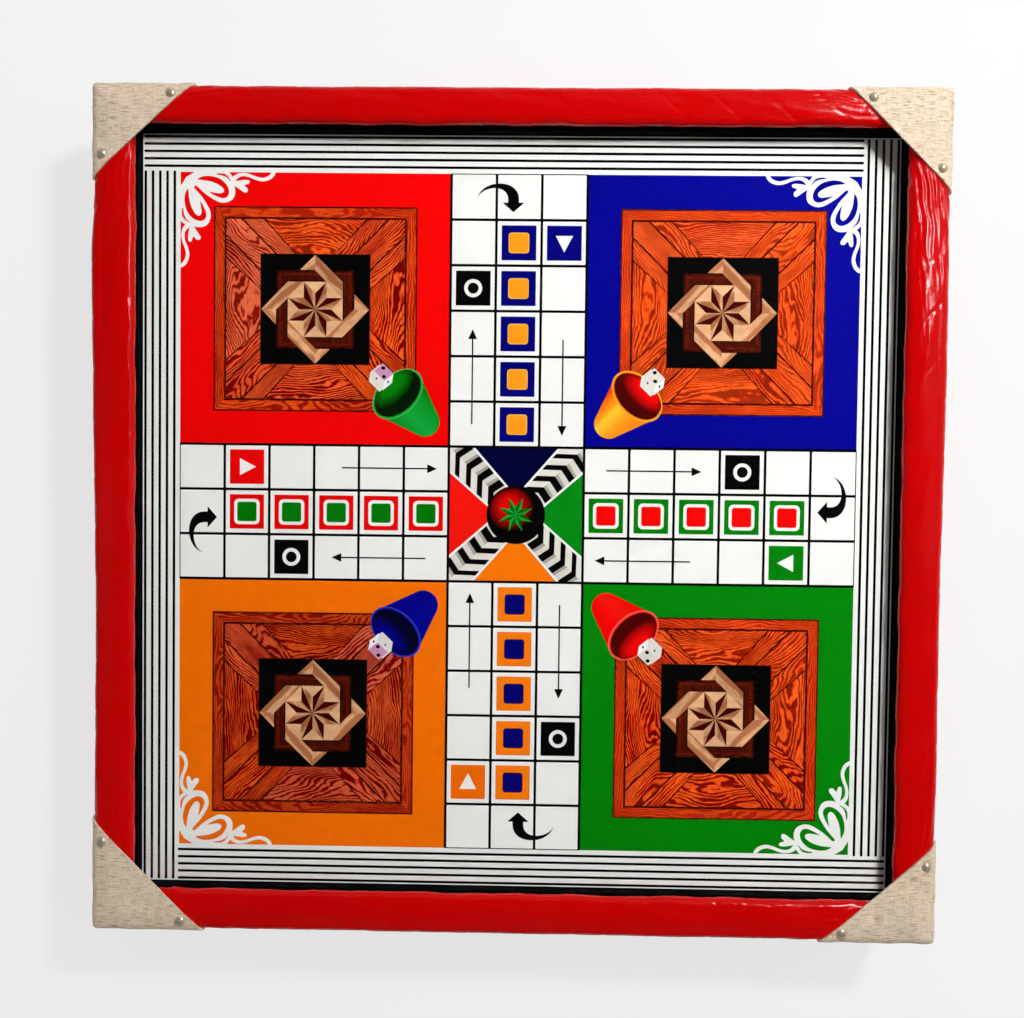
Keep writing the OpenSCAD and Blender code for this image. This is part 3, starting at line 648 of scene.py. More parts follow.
# %%
MARK, RING, INNER = 0.765 * CELL, 0.57 * CELL, 0.43 * CELL
INNER_TONE = {"red": 0.44, "green": 0.5, "blue": 0.74, "orange": 0.3}
SIGN = np.array([(-0.16, -0.19), (0.2, 0.0), (-0.16, 0.19)]) * CELL
CURVED_ARROW = np.concatenate([
    curve((0.03, -0.93), (-0.40, -0.83), (-0.42, -0.01), (0.05, -0.01), 16),
    [(0.12, -0.01), (0.12, 0.11), (0.33, -0.13), (0.12, -0.37), (0.12, -0.25)],
    curve((0.05, -0.25), (-0.30, -0.25), (-0.24, -0.84), (0.03, -0.93), 16)[:-1]]) * CELL
for k, hue in enumerate(HOMES):
    def draw(ink_hue, shape, tone=0.5):
        """Paint a shape turned to this home's side."""
        paint(ink_hue, turned(shape, k), tone)

    for column in range(1, 6):
        x, y = cell_at(column, 7)
        draw(hue, box(x, y, MARK, MARK, 0.5, 2), 0.32 if hue == "blue" else 0.47)
        if hue in ("red", "green"):
            draw("paper", box(x, y, RING, RING, 3.4))
        if hue == "blue":
            draw("orange", box(x, y, INNER + 0.7, INNER + 0.7, 2.2), 0.93)
        if hue == "orange":
            draw("orange", box(x, y, MARK - 1.2, MARK - 1.2, 0.5, 2), 0.56)
            draw("red", box(x, y, INNER + 0.7, INNER + 0.7, 2.2), 0.1)
        draw(HOMES[(k + 2) % 4], box(x, y, INNER, INNER, 1.7), INNER_TONE[hue])
    start, stop = cell_at(1, 6), cell_at(2, 8)
    draw(hue, box(*start, MARK, MARK, 0.5, 2), 0.36 if hue == "blue" else 0.47)
    draw("paper", SIGN + start)
    draw("black", box(*stop, MARK, MARK, 0.5, 2))
    draw("paper", oval(*stop, 0.2 * CELL, 0.2 * CELL))
    draw("black", oval(*stop, 0.12 * CELL, 0.12 * CELL))
    for row, tail, tip in ((6, 3.62, 5.74), (8, 5.5, 3.4)):
        head = tip - 0.22 * np.sign(tip - tail)
        shape = [(tail, -0.016), (head, -0.016), (head, -0.1), (tip, 0), (head, 0.1), (head, 0.016),
                 (tail, 0.016)]
        draw("black", (np.array(shape) - (7.5, row - 7)) * CELL)
    draw("black", CURVED_ARROW + cell_at(0, 7))
print(len(PAINTED), "shapes with marks and arrows")

# %% [markdown]
# Wooden panels. Each is a square of inlaid planks: a mitred frame, four wedges of figured oak, diagonal
# planks in the corners, and a black square with an interlaced ribbon and an eight-pointed star, an old
# inlay pattern. Joints are the dark ground showing between planks.


# %%
def clipped(points, normal, low, high):
    """The part of a convex shape where low <= p . normal <= high."""
    for sign, limit in ((1, low), (-1, -high)):
        kept = []
        for p, q in zip(points, np.roll(points, -1, axis=0)):
            dp, dq = sign * (p @ normal) - limit, sign * (q @ normal) - limit
            if dp >= 0:
                kept.append(p)
            if dp * dq < 0:
                kept.append(p + (q - p) * dp / (dp - dq))
        points = np.array(kept).reshape(-1, 2)
    return points


def swung(points, quarter):
    """Points turned by a number of quarter turns, also halves, counter-clockwise."""
    a = quarter * math.pi / 2
    return np.asarray(points, float) @ np.array([[math.cos(a), math.sin(a)], [-math.sin(a), math.cos(a)]])


PANEL_HALF = 2.26 * CELL
# Painted light: the oak of the back right home's panel is made lighter and the front left one's darker,
# following how the light falls off from the back right.
PANEL_PAINTED_LIGHT = {"red": 0.0, "blue": 0.07, "green": 0.0, "orange": -0.13}
WEDGE_BLUSH = {"red": (0.0, 0.45, 0.1, 0.0), "blue": (0.1, 0.0, 0.0, 0.0), "green": (0.0, 0.0, 0.0, 0.0),
               "orange": (0.0, 0.0, 0.3, 0.1)}
CORNER_BLUSH = {"red": (0.55, 0.15, 0.0, 0.1), "blue": (0.1, 0.0, 0.0, 0.0), "green": (0.0, 0.0, 0.0, 0.0),
                "orange": (0.2, 0.0, 0.3, 0.5)}
plank = 0
for k, hue in enumerate(HOMES):
    middle = turned([(-4.5 * CELL, 4.5 * CELL)], k)[0]

    def lay(hue_of, points, tone=0.5, grain=0.0, blush=0.0):
        """Paint a shape of the panel, in units of its half width."""
        global plank
        plank += 1
        # Each lighter oak plank's tone is shifted by its home's painted light.
        tone = tone + PANEL_PAINTED_LIGHT[hue] if hue_of == "oak" and tone > 0.3 else tone
        paint(hue_of, np.asarray(points, float) * PANEL_HALF + middle, tone, grain, plank, blush)

    lay("oak", box(0, 0, 2, 2), 0.05)
    rng = np.random.default_rng(40 + k)
    for side in range(4):
        angle = 90.0 * side
        lay("oak", swung([(-0.985, 0.985), (0.985, 0.985), (0.9, 0.895), (-0.9, 0.895)], side),
            0.44 + 0.08 * rng.random(), angle, -0.3 - 0.35 * rng.random())
        lay("oak", swung([(-0.49, 0.875), (0.49, 0.875), (0.19, 0.54), (-0.19, 0.54)], side),
            0.48 + 0.08 * rng.random(), angle, WEDGE_BLUSH[hue][side])
        corner = np.array([(-0.875, 0.875), (-0.51, 0.875), (-0.2, 0.54), (-0.54, 0.54), (-0.54, 0.2),
                           (-0.875, 0.51)])
        for low, high in ((-0.6, -0.12), (-0.104, 0.102), (0.118, 0.6)):
            lay("oak", swung(clipped(corner, ACROSS, low, high), side), 0.48 + 0.1 * rng.random(), angle - 45,
                CORNER_BLUSH[hue][side])
    lay("black", box(0, 0, 1.07, 1.07), 0.35)
    for size, tone, grain, blush in ((0.76, 0.03, 0, 0.0), (0.72, 0.09, 0, -0.5), (0.66, 0.05, 90, -0.5)):
        lay("oak", box(0, 0, size, size), tone, grain, blush)
    lay("black", box(0, 0, 0.56, 0.56), 0.4)
    for side in range(4):
        lay("tan", swung([(-0.15, 0.386), (0, 0.53), (0, 0.386)], side), 0.52, 90 * side + 45)
        lay("tan", swung([(0, 0.53), (0.27, 0.268), (0.27, 0.112), (0.115, 0.265), (0, 0.38)], side),
            0.4 + 0.04 * side, 90 * side - 45)
    tips = oval(0, 0, 0.292, 0.292, 22.5, 8)
    waists = oval(0, 0, 0.16, 0.16, 0, 8)
    lay("tan", tips, 0.98, 0)
    for n in range(8):
        lay("tan", [(0, 0), waists[n], tips[n]], 0.4, 45 * n)
        lay("red", [(0, 0), tips[n], waists[(n + 1) % 8]], 0.01)
print(len(PAINTED), "shapes with the wooden panels")

# %% [markdown]
# Dice cups and corner ornaments. A tipped cup with a die at its mouth lies over each panel's inner corner.
# White leaves and tendrils fill each home's outer corner, the same on both sides of its diagonal.

# %%
LOOP = smooth([(0.25, 0.1), (0.42, -0.02), (0.72, -0.02), (1.0, 0.05), (1.15, 0.2), (1.21, 0.4), (1.17, 0.57),
               (1.02, 0.66), (0.84, 0.65), (0.58, 0.5), (0.38, 0.33), (0.25, 0.22)], closed=True)
LOOP_GAP = np.concatenate([
    smooth([(0.36, 0.155), (0.5, 0.095), (0.68, 0.09), (0.88, 0.15), (1.02, 0.28), (1.075, 0.43),
            (1.03, 0.54), (0.92, 0.57), (0.76, 0.51), (0.62, 0.425)])[:-1],
    smooth([(0.62, 0.425), (0.78, 0.455), (0.9, 0.46), (0.96, 0.41), (0.92, 0.33), (0.78, 0.245), (0.6, 0.19),
            (0.36, 0.165)])[:-1]])
SLIVER = np.concatenate([smooth([(0.78, 0.05), (0.93, 0.075), (1.04, 0.13), (1.11, 0.21)])[:-1],
                         smooth([(1.12, 0.2), (1.04, 0.09), (0.93, 0.03), (0.78, 0.03)])[:-1]])
SHOULDER = smooth([(0.72, -0.01), (0.95, -0.01), (1.08, 0.055), (1.17, 0.2)])
HUB = [(0.12, 0.11), (0.32, -0.01), (0.5, -0.01), (0.4, 0.22), (0.22, 0.4), (-0.01, 0.5), (-0.01, 0.32)]
BUD = smooth([(1.14, 0.22), (1.27, 0.185), (1.42, 0.165), (1.52, 0.18), (1.52, 0.24), (1.42, 0.285),
              (1.485, 0.36), (1.475, 0.435), (1.41, 0.44), (1.28, 0.35), (1.16, 0.27)], closed=True)
TENDRIL = smooth([(1.14, 0.19), (1.25, 0.085), (1.38, 0.05), (1.52, 0.07), (1.68, 0.13), (1.83, 0.155),
                  (1.97, 0.11), (2.05, 0.03), (2.06, -0.03)])
SHOULDER_WIDTHS, TENDRIL_WIDTHS = [0.06, 0.07, 0.06], [0.12, 0.075, 0.07, 0.08, 0.09, 0.08]
CUPS = ["green", "orange", "red", "blue"]
CUP_TONES = {"green": (0.55, 0.68, 0.5), "orange": (0.3, 0.9, 0.56), "red": (0.5, 0.52, 0.47),
             "blue": (0.5, 0.52, 0.46)}
CUP_AT, CUP_LONG, FOOT_R, MOUTH_A, MOUTH_B = 1.15, 0.86, 0.33, 0.44, 0.66
DIE_TOP, DIE_A, DIE_B, DIE_C = np.array([(0.0, 0.29), (0.23, -0.22), (-0.2, -0.16), (-0.03, -0.2)])

for k, hue in enumerate(HOMES):
    at_corner = placer(k, CELL, (-7.5 * CELL, 7.5 * CELL), (1, 0), (0, -1))
    paint("paper", at_corner(HUB))
    for mirror in (1, -1):
        for ink_hue, shape in (("paper", LOOP), (hue, LOOP_GAP), ("paper", stroke(SHOULDER, SHOULDER_WIDTHS)),
                               (hue, SLIVER), ("paper", BUD), ("paper", stroke(TENDRIL, TENDRIL_WIDTHS))):
            paint(ink_hue, at_corner(shape[:, ::mirror]), 0.47 if ink_hue == hue else 0.5)

    cup = CUPS[k]
    inside = "red" if cup == "orange" else cup
    on_cup = placer(k, CELL, -(1.5 + CUP_AT) * CELL * INWARD * math.sqrt(2), INWARD, ACROSS)
    body = np.concatenate([oval(CUP_LONG, 0, FOOT_R, FOOT_R, 0, 24, -76, 76),
                           oval(0, 0, MOUTH_A, MOUTH_B, 0, 24, 90, 270)])
    edges = np.linspace(-MOUTH_B, MOUTH_B, 20)
    for low, high in zip(edges[:-1], edges[1:]):
        tone = np.interp(0.5 * (low + high), (-0.5, -0.12, 0.5), CUP_TONES[cup])
        paint(cup, on_cup(clipped(body, np.array([0.0, 1.0]), low, high)), tone)
    paint(cup, on_cup(oval(0, 0, MOUTH_A, MOUTH_B, steps=56)), 0.84)
    paint(cup, on_cup(oval(0, 0, MOUTH_A - 0.018, MOUTH_B - 0.018, steps=56)), 0.6)
    paint(inside, on_cup(oval(-0.005, 0, MOUTH_A - 0.05, MOUTH_B - 0.05, steps=56)), 0.02)
    for n in range(10):
        paint(inside, on_cup(oval(-0.13 - 0.012 * n, 0.02 + 0.006 * n, 0.25 - 0.014 * n, 0.56 - 0.03 * n,
                                  steps=48)), 0.05 + 0.047 * n)

    def on_die(shape):
        """A shape in units of a cell, placed at the cup's mouth and never upside down."""
        return on_cup([(-0.5, 0.03)])[0] + (1 if k < 2 else -1) * CELL * shape

    for shift, tone in ((np.array([-0.075, -0.03]), 0.99), (np.array([0.0, 0.0]), 0.9)):
        outline = [DIE_TOP, DIE_TOP + DIE_A, DIE_TOP + DIE_A + DIE_C, DIE_TOP + DIE_A + DIE_B + DIE_C,
                   DIE_TOP + DIE_B + DIE_C, DIE_TOP + DIE_B]
        paint("black", on_die(np.array(outline) * 1.03 + shift), tone)
    face = np.array([(0, 0), (1, 0), (1, 1), (0, 1)])
    for corner, one, two, face_ink, tone in (
        (DIE_TOP, DIE_A, DIE_B, "red" if k in (0, 3) else "black", 0.99 if k in (0, 3) else 0.96),
        (DIE_TOP + DIE_A, DIE_C, DIE_B, "paper", 0.5),
        (DIE_TOP + DIE_B, DIE_A, DIE_C, "black", 0.985),
    ):
        paint(face_ink, on_die(corner + face[:, :1] * one + face[:, 1:] * two), tone)
    for at, size in ((DIE_TOP + 0.25 * (DIE_A + DIE_B), (0.046, 0.04)),
                     (DIE_TOP + 0.75 * (DIE_A + DIE_B), (0.046, 0.04)),
                     (DIE_TOP + DIE_A + 0.5 * (DIE_B + DIE_C), (0.02, 0.03)),
                     (DIE_TOP + DIE_B + 0.3 * DIE_A + 0.5 * DIE_C, (0.018, 0.03))):
        paint("black", on_die(at + oval(0, 0, *size, steps=14)), 0.3)
print(len(PAINTED), "shapes with cups and ornaments")

# %% [markdown]
# Middle of the board: the four homes' triangles with white edges, folded bands in black and cream between
# them, and a round boss with an eight-pointed star. Each band is a row of chevrons whose two arms have
# different slopes, so that it looks like a beam with one side in shade.

# %%
INSIDE = 1.5 * CELL - LINE / 2
BANDS, BAND_FROM, BAND_STEP = 6, 0.36, 0.235
LEFT_SLOPE, RIGHT_SLOPE = 0.95, 0.2
paint("black", box(0, 0, 2 * INSIDE, 2 * INSIDE), 0.4)
on_beam = placer(0, INSIDE, (0, 0), -INWARD, ACROSS)
for k in range(4):
    def beam(shape):
        """A shape with x out along the diagonal to the corner, cut off at the square's edge."""
        placed = clipped(on_beam(shape), np.array([1.0, 0.0]), -INSIDE, 0.0)
        return turned(clipped(placed, np.array([0.0, 1.0]), 0.0, INSIDE), k)

    for n in range(BANDS):
        start = BAND_FROM + BAND_STEP * n
        stop = start + 0.115 + 0.008 * n
        for side, slope, lit in ((-1, LEFT_SLOPE, 1.0), (1, RIGHT_SLOPE, 0.955)):
            arm = [(start, 0), (start - 0.5 * slope, 0.5 * side), (stop - 0.5 * slope, 0.5 * side), (stop, 0)]
            paint("black", beam(arm), lit)
        paint("black", beam([(start, 0), (start - 0.06, 0.3), (start - 0.02, 0.3), (start + 0.05, 0)]), 0.83)
for k, hue in enumerate(HOMES):
    for reach, apex, ink_hue, tone in ((0.665, 0.245, "paper", 0.5),
                                       (0.618, 0.29, hue, {"blue": 0.06}.get(hue, 0.52))):
        wedge = [(-1.0, -reach), (-apex, 0.0), (-1.0, reach)]
        paint(ink_hue, turned(np.array(wedge) * INSIDE, k), tone)
DISC = 0.65 * CELL
paint("black", oval(0, 0, DISC, DISC, steps=64), 0.4)
for n in range(10):
    paint("red", oval((-0.16 - 0.012 * n) * DISC, (0.2 + 0.02 * n) * DISC, (0.76 - 0.055 * n) * DISC,
                      (0.72 - 0.058 * n) * DISC, 30, steps=48), 0.045 * n)
star = oval(0, 0, 0.62 * DISC, 0.62 * DISC, 22.5, 8)
notch = oval(0, 0, 0.27 * DISC, 0.27 * DISC, 0, 8)
for n in range(8):
    paint("green", [(0, 0), notch[n], star[n]], 0.62)
    paint("green", [(0, 0), star[n], notch[(n + 1) % 8]], 0.24)
print(len(PAINTED), "shapes in all")

# %% [markdown]
# ## Print: one flat map
# Thousands of overlapping shapes would fight for the same height. A constrained triangulation cuts them
# all at their crossings instead, and each triangle takes the ink of the last shape painted over it. The
# inks then lie side by side in one plane, with exact edges at any size, and each ink is its own piece.

# %%
outlines = [shape[1] for shape in PAINTED]
firsts = np.cumsum([0] + [len(outline) for outline in outlines])
face_list = [list(range(*ends)) for ends in zip(firsts[:-1], firsts[1:])]
flat_points = [Vector(p) for p in np.concatenate(outlines)]
cut_points, _, cut_faces, _, _, origins = delaunay_2d_cdt(flat_points, [], face_list, 1, 1e-4, True)
cut_points = np.array([tuple(p) for p in cut_points])
top = np.array([max(shapes) if shapes else 0 for shapes in origins])
triangles = np.array(cut_faces)
edge_a = cut_points[triangles[:, 1]] - cut_points[triangles[:, 0]]
edge_b = cut_points[triangles[:, 2]] - cut_points[triangles[:, 0]]
flipped = edge_a[:, 0] * edge_b[:, 1] - edge_a[:, 1] * edge_b[:, 0] < 0
triangles[flipped] = triangles[flipped][:, ::-1]
hues, tones, grains, numbers, blushes = (
    np.array([shape[column] for shape in PAINTED])[top] for column in (0, 2, 3, 4, 5))
print(len(triangles), "triangles in the print")

for hue, material in INKS.items():
    chosen = hues == hue
    used, faces = np.unique(triangles[chosen], return_inverse=True)
    points = np.column_stack([cut_points[used], np.full(len(used), INK_Z)])
    piece = make_piece(
        "print_ink_" + hue, points, [faces.reshape(-1, 3)], "lid", material, ["print_" + hue],
        values={"tone": tones[chosen], "grain_x": np.cos(grains[chosen]), "grain_y": np.sin(grains[chosen]),
                "plank": numbers[chosen], "blush": blushes[chosen]})
    print(piece.name, int(chosen.sum()), "triangles")

# %% [markdown]
# ## Padded rim
# Foam on the wooden rails under one skin of vinyl. Its section rises straight from the seam, rolls over a
# 7 mm edge, crowns by a millimetre and tucks round a 5 mm lip. The skin is never quite even: it swells and
# dips along the side, puckers at the lip where it is drawn under, and has stress folds that run out from
# the tacked patches. All that is a displacement of the section along its normal.


# %%
def arc(u, z, r, start, stop, steps):
    """Points round (u, z) at radius r, from start to stop degrees."""
    a = np.radians(np.linspace(start, stop, steps))
    return np.stack([u + r * np.cos(a), z + r * np.sin(a)], axis=1)


def crown_z(u):
    """Height of the padding's crown: z = crest - ((u - mid) / half)^2, in millimetres."""
    return CREST_Z - ((u - CROWN_MID) / CROWN_HALF) ** 2


def rim_section(width):
    """The pad's outline for a rim of the given width, and three shares along it: where the skin may lift,
    where it rolls round the lip, and where the side may bulge. The lip is an arc of LIP_R that starts where
    the crown ends and stops at the rail's inner face."""
    centre = width - LIP_R
    start = math.radians(LIP_FROM)
    crown_u = np.linspace(EDGE_R, centre + LIP_R * math.cos(start), 21)[1:]
    crown = np.stack([crown_u, crown_z(crown_u)], axis=1)
    lip_end = -math.degrees(math.acos((RAIL_IN - centre) / LIP_R))
    low = crown[-1, 1] - LIP_R * math.sin(start)
    lip = arc(centre, low, LIP_R, LIP_FROM, lip_end, 27)[1:]
    parts = [UNDER, SIDE, OVER, crown, lip, HIDDEN]
    section = np.concatenate(parts)
    skin = np.zeros(len(section))
    skin[len(UNDER) + 1:len(section) - len(HIDDEN) - 1] = 1
    turn, bulge = ([np.zeros(len(part)) for part in parts] for _ in range(2))
    turn[4] = np.sin(np.linspace(0, np.pi, len(lip))) ** 0.7
    bulge[1] = np.clip((SIDE[:, 1] - LID_Z - 2) / 20, 0, 1) ** 0.8
    bulge[2] = np.cos(np.linspace(0, np.pi / 2, len(OVER)))
    tangent = np.roll(section, -1, axis=0) - np.roll(section, 1, axis=0)
    outward = np.stack([-tangent[:, 1], tangent[:, 0]], axis=1) / np.linalg.norm(tangent, axis=1)[:, None]
    return section, outward, skin, np.concatenate(turn), np.concatenate(bulge)


SIDE = np.stack([np.zeros(14), np.linspace(LID_Z + 1.8, EDGE_Z - EDGE_R, 14)], axis=1)
OVER = arc(EDGE_R, EDGE_Z - EDGE_R, EDGE_R, 180, 90, 13)[1:]
UNDER = np.array([(10, RAIL_Z - 0.05), (10, LID_Z + 0.15), (9.6, LID_Z), (1.8, LID_Z), (0.55, LID_Z + 0.5)])
HIDDEN = np.array([(RAIL_IN, RAIL_TOP - 2), (RAIL_IN - 2, RAIL_TOP), (3.05, RAIL_TOP), (1.05, RAIL_TOP - 2),
                   (1.05, RAIL_Z - 0.05)])
BACK_PULLED_IN = 2.2
RIM_WIDTHS = [RIM_W, RIM_W, RIM_W - BACK_PULLED_IN, RIM_W]
ALONG = 1.0 - 2.0 * np.linspace(0, 1, 561)


def round_corners(x, y):
    """Bring points outside the box's rounded upright corners onto them."""
    dx, dy = np.abs(x) - (HALF - CORNER_R), np.abs(y) - (HALF - CORNER_R)
    reach = np.hypot(dx, dy)
    out = (dx > 0) & (dy > 0) & (reach > CORNER_R)
    factor = np.where(out, CORNER_R / np.maximum(reach, 1e-9), 1)
    return (np.where(out, np.sign(x) * (HALF - CORNER_R + dx * factor), x),
            np.where(out, np.sign(y) * (HALF - CORNER_R + dy * factor), y))


def on_side(x, y, k):
    """Points of the front side turned to side k: 0 front, 1 right, 2 back, 3 left."""
    c, s = round(math.cos(k * math.pi / 2)), round(math.sin(k * math.pi / 2))
    return c * x - s * y, s * x + c * y


def patch_reach(k, u):
    """How far the patches at the two ends of side k reach along it, at the distance u from its edge: a
    patch's slanting edge runs from own on this side to other on the next, so it is own (1 - u / other)."""
    left, right = k, (k + 1) % 4
    own, other = (PATCH_X, PATCH_Y) if k % 2 == 0 else (PATCH_Y, PATCH_X)
    return own[left] * (1 - u / other[left]), own[right] * (1 - u / other[right])


def skin_lift(k, s, u, skin, turn, bulge):
    """Displacement of the vinyl in millimetres at distance s along side k: swell + lip + folds - pulls.
    With free the distance from the nearer patch, the folds that run out from the patches are
    0.26 exp(-free / 26) sin(2 pi (u + 0.14 free + waviness) / 5.6), and the pulls are the peaks of a
    waviness. The left and right sides also bulge by mean + swing cos(pi (s - start) / half_wave), eased
    in by level^2 (3 - 2 level). Under a patch the skin is pressed 0.12 mm in."""
    low, high = patch_reach(k, u)
    free = np.minimum(s + HALF - low, HALF - high - s)
    swell = 0.30 * waves(s + 6 * u, [170, 93, 52], 11 + k) + 0.10 * waves(s - 9 * u, [31, 22], 21 + k)
    lip = turn * (0.75 * waves(s, [120, 61, 37], 31 + k) + 0.22 * waves(s, [17, 11.5, 8], 41 + k))
    near = np.exp(-np.maximum(free, 0) / 26.0)
    if k == 1:
        near = near + 0.9 * np.exp(-np.maximum(HALF - high - s, 0) / 50.0)
    folds = 0.26 * near * np.sin(2 * np.pi * (u + 0.14 * free + 2 * waves(s, [60, 33], 51 + k)) / 5.6)
    pulls = 0.16 * np.clip(waves(s + 1.2 * u, [19, 12.5], 61 + k) * 2.2 - 0.6, 0, 1)
    lift = swell + lip + folds - pulls
    if k % 2 == 1:
        level = np.clip(free / 45.0, 0, 1)
        mean, swing, start, half_wave = (0.9, 1.4, -190, 290) if k == 3 else (0.7, 0.6, 120, 200)
        out = mean + swing * np.cos((s - start) / half_wave * np.pi)
        lift = lift + bulge * out * level * level * (3 - 2 * level)
    return skin * np.where(free > 0, lift, np.minimum(lift, 0) * 0.3 - 0.12)


for k, name in enumerate(["front", "right", "back", "left"]):
    section, outward, skin, turn, bulge = rim_section(RIM_WIDTHS[k])
    u = section[None, :, 0]
    s = ALONG[:, None] * (HALF - u - 0.05)
    lift = skin_lift(k, s, u, skin, turn, bulge)
    x, y = round_corners(s, -HALF + u + outward[:, 0] * lift)
    points = points3(*on_side(x, y, k), section[:, 1] + outward[:, 1] * lift)
    count = len(section)
    caps = np.stack([np.arange(count), np.arange(count)[::-1] + (len(ALONG) - 1) * count])
    pad = make_piece("rim_pad_" + name, points, [grid_faces(len(ALONG), count, False, True), caps], "lid",
                     RED_VINYL, ["rim_cover_" + name, "foam_" + name], crease=50)
    reshape(pad.data)
    print(pad.name, len(pad.data.polygons), "faces")

# %% [markdown]
# ## Corner patches
# A triangle of leathercloth over each corner, down both sides. It is worked out in the cloth's own flat
# coordinates: a runs across one edge of the lid and b across the other, from the bottom of the flap up,
# round the edge and on towards the recess. The height is the lower of the two edges' heights, so that the
# cloth covers both. The cut edge is the straight line between the patch's two ends.


# %%
def edge_path(t):
    """Where a point at the distance t along the cloth lies: below 0 it is on the flap, then on the edge's
    quarter round, then on the crown, which goes on level over the recess."""
    quarter = EDGE_R * np.pi / 2
    a = np.clip(t / EDGE_R, 0, np.pi / 2)
    u = EDGE_R * (1 - np.cos(a)) + np.maximum(t - quarter, 0)
    z = EDGE_Z - EDGE_R + np.minimum(t, 0) + EDGE_R * np.sin(a)
    return u, np.where(t > quarter, crown_z(np.minimum(u, CROWN_MID)), z)


def path_length(u):
    """The inverse of edge_path for points on the crown or the quarter round."""
    a = np.arccos(np.clip(1 - u / EDGE_R, -1, 1))
    return np.where(u < EDGE_R, EDGE_R * a, EDGE_R * np.pi / 2 + u - EDGE_R)


def patch_surface(ta, tb):
    """Points of a patch at cloth coordinates ta, tb, lying on the lid. Where the two edges' heights are
    alike, their lower one is rounded over PATCH_BLEND, and the upright corner has the radius PATCH_R."""
    ua, za = edge_path(ta)
    ub, zb = edge_path(tb)
    z = -PATCH_BLEND * np.logaddexp(-za / PATCH_BLEND, -zb / PATCH_BLEND)
    z = z + PATCH_BLEND * math.log(2) * np.exp(-np.abs(za - zb) / PATCH_BLEND)
    dx, dy = np.minimum(ua - PATCH_R, 0), np.minimum(ub - PATCH_R, 0)
    reach = np.hypot(dx, dy)
    factor = np.where((dx < 0) & (dy < 0) & (reach > PATCH_R), PATCH_R / np.maximum(reach, 1e-9), 1)
    return points3(np.where(factor < 1, PATCH_R + dx * factor, ua),
                   np.where(factor < 1, PATCH_R + dy * factor, ub), z)


def grid_normals(points):
    """Unit normals of a grid of points: the cross product of the steps along its rows and columns."""
    normal = np.cross(np.gradient(points, axis=1), np.gradient(points, axis=0))
    return normal / np.maximum(np.linalg.norm(normal, axis=-1, keepdims=True), 1e-9)


PATCH_BLEND, PATCH_R = 1.2, 6
FLAP_ROWS, TOP_ROWS, CLOSER_TO_EDGE = 22, 96, 1.15
CLOTH_GAP = 0.06
FLAP = EDGE_Z - EDGE_R - (CREST_Z - PATCH_DROP)
for i, name in enumerate(["front_left", "front_right", "back_right", "back_left"]):
    long_a, long_b = PATCH_Y[i], PATCH_X[i]
    ub_end = long_b - 2 * PATCH_T - 2 * PATCH_T * long_b / long_a - 0.8
    ub = np.linspace(0, 1, TOP_ROWS) ** CLOSER_TO_EDGE * ub_end
    tb = path_length(ub)
    ua_end = np.maximum(long_a * (1 - (ub + 2 * PATCH_T) / long_b) - 2 * PATCH_T, 0.5)
    ta_end = path_length(ua_end)
    flap = np.linspace(-FLAP, 0, FLAP_ROWS)
    ta_top = np.linspace(0, 1, TOP_ROWS)[None, :] ** CLOSER_TO_EDGE * ta_end[:, None]
    ta = np.concatenate([np.broadcast_to(flap[:-1], (TOP_ROWS, FLAP_ROWS - 1)), ta_top], axis=1)
    parts = ((ta, np.broadcast_to(tb[:, None], ta.shape)), np.broadcast_arrays(ta_top[:1], flap[:, None]))

    def shell(ta_now, tb_now, offset):
        """A part moved out by an offset and by the cloth's small lifts, less so on its underside."""
        grid = patch_surface(ta_now, tb_now)
        free = np.maximum(0.35 * waves(ta_now - tb_now, [41, 23], 80 + i) + 0.35, 0)
        return grid + grid_normals(grid) * (offset + free[..., None] * (0.3 if offset == CLOTH_GAP else 1))

    sheets = []
    for offset in (CLOTH_GAP, CLOTH_GAP + PATCH_T):
        a_side, b_side = (shell(*part, offset) for part in parts)
        b_side[-1] = a_side[0, FLAP_ROWS - 1:]
        a_side[0, :FLAP_ROWS] = b_side[:, 0] = 0.5 * (a_side[0, :FLAP_ROWS] + b_side[:, 0])
        sheets.append((a_side, b_side))
    cloth = np.concatenate([side.reshape(-1, 3) for side in sheets[1] + sheets[0]])
    uv = np.concatenate([np.stack(part, axis=-1).reshape(-1, 2) for part in parts * 2]) + 200 * i
    index_a = np.arange(ta.size).reshape(ta.shape)
    index_b = np.arange(ta.size, ta.size + FLAP_ROWS * TOP_ROWS).reshape(FLAP_ROWS, TOP_ROWS)
    quads = np.concatenate([grid_faces(*ta.shape), grid_faces(FLAP_ROWS, TOP_ROWS) + ta.size])
    below = len(cloth) // 2
    border = np.concatenate([index_a[:, -1], index_a[-1, ::-1][1:], index_a[::-1, 0][1:],
                             index_b[::-1, 0][1:], index_b[0, 1:], index_b[1:, -1]])
    following = np.roll(border, -1)
    ring = np.stack([border, following, following + below, border + below], axis=1)
    sx, sy = PATCH_SIGN[i]
    placed = points3(sx * (HALF - cloth[:, 1]), sy * (HALF - cloth[:, 0]), cloth[:, 2])
    patch = make_piece("patch_cloth_" + name, placed, [quads, quads + below, ring], "lid", LEATHERCLOTH,
                       ["patch_" + name], uv=uv, crease=55)
    reshape(patch.data, reach=0.00002)

# %% [markdown]
# ## Tacks
# A domed head spun round its axis, with the rolled rim that pressed tacks have.


# %%
def revolve(profile):
    """A profile of (radius, z) spun round the z axis."""
    return points3(profile[:, :1] * np.cos(ROUND), profile[:, :1] * np.sin(ROUND), profile[:, 1:])


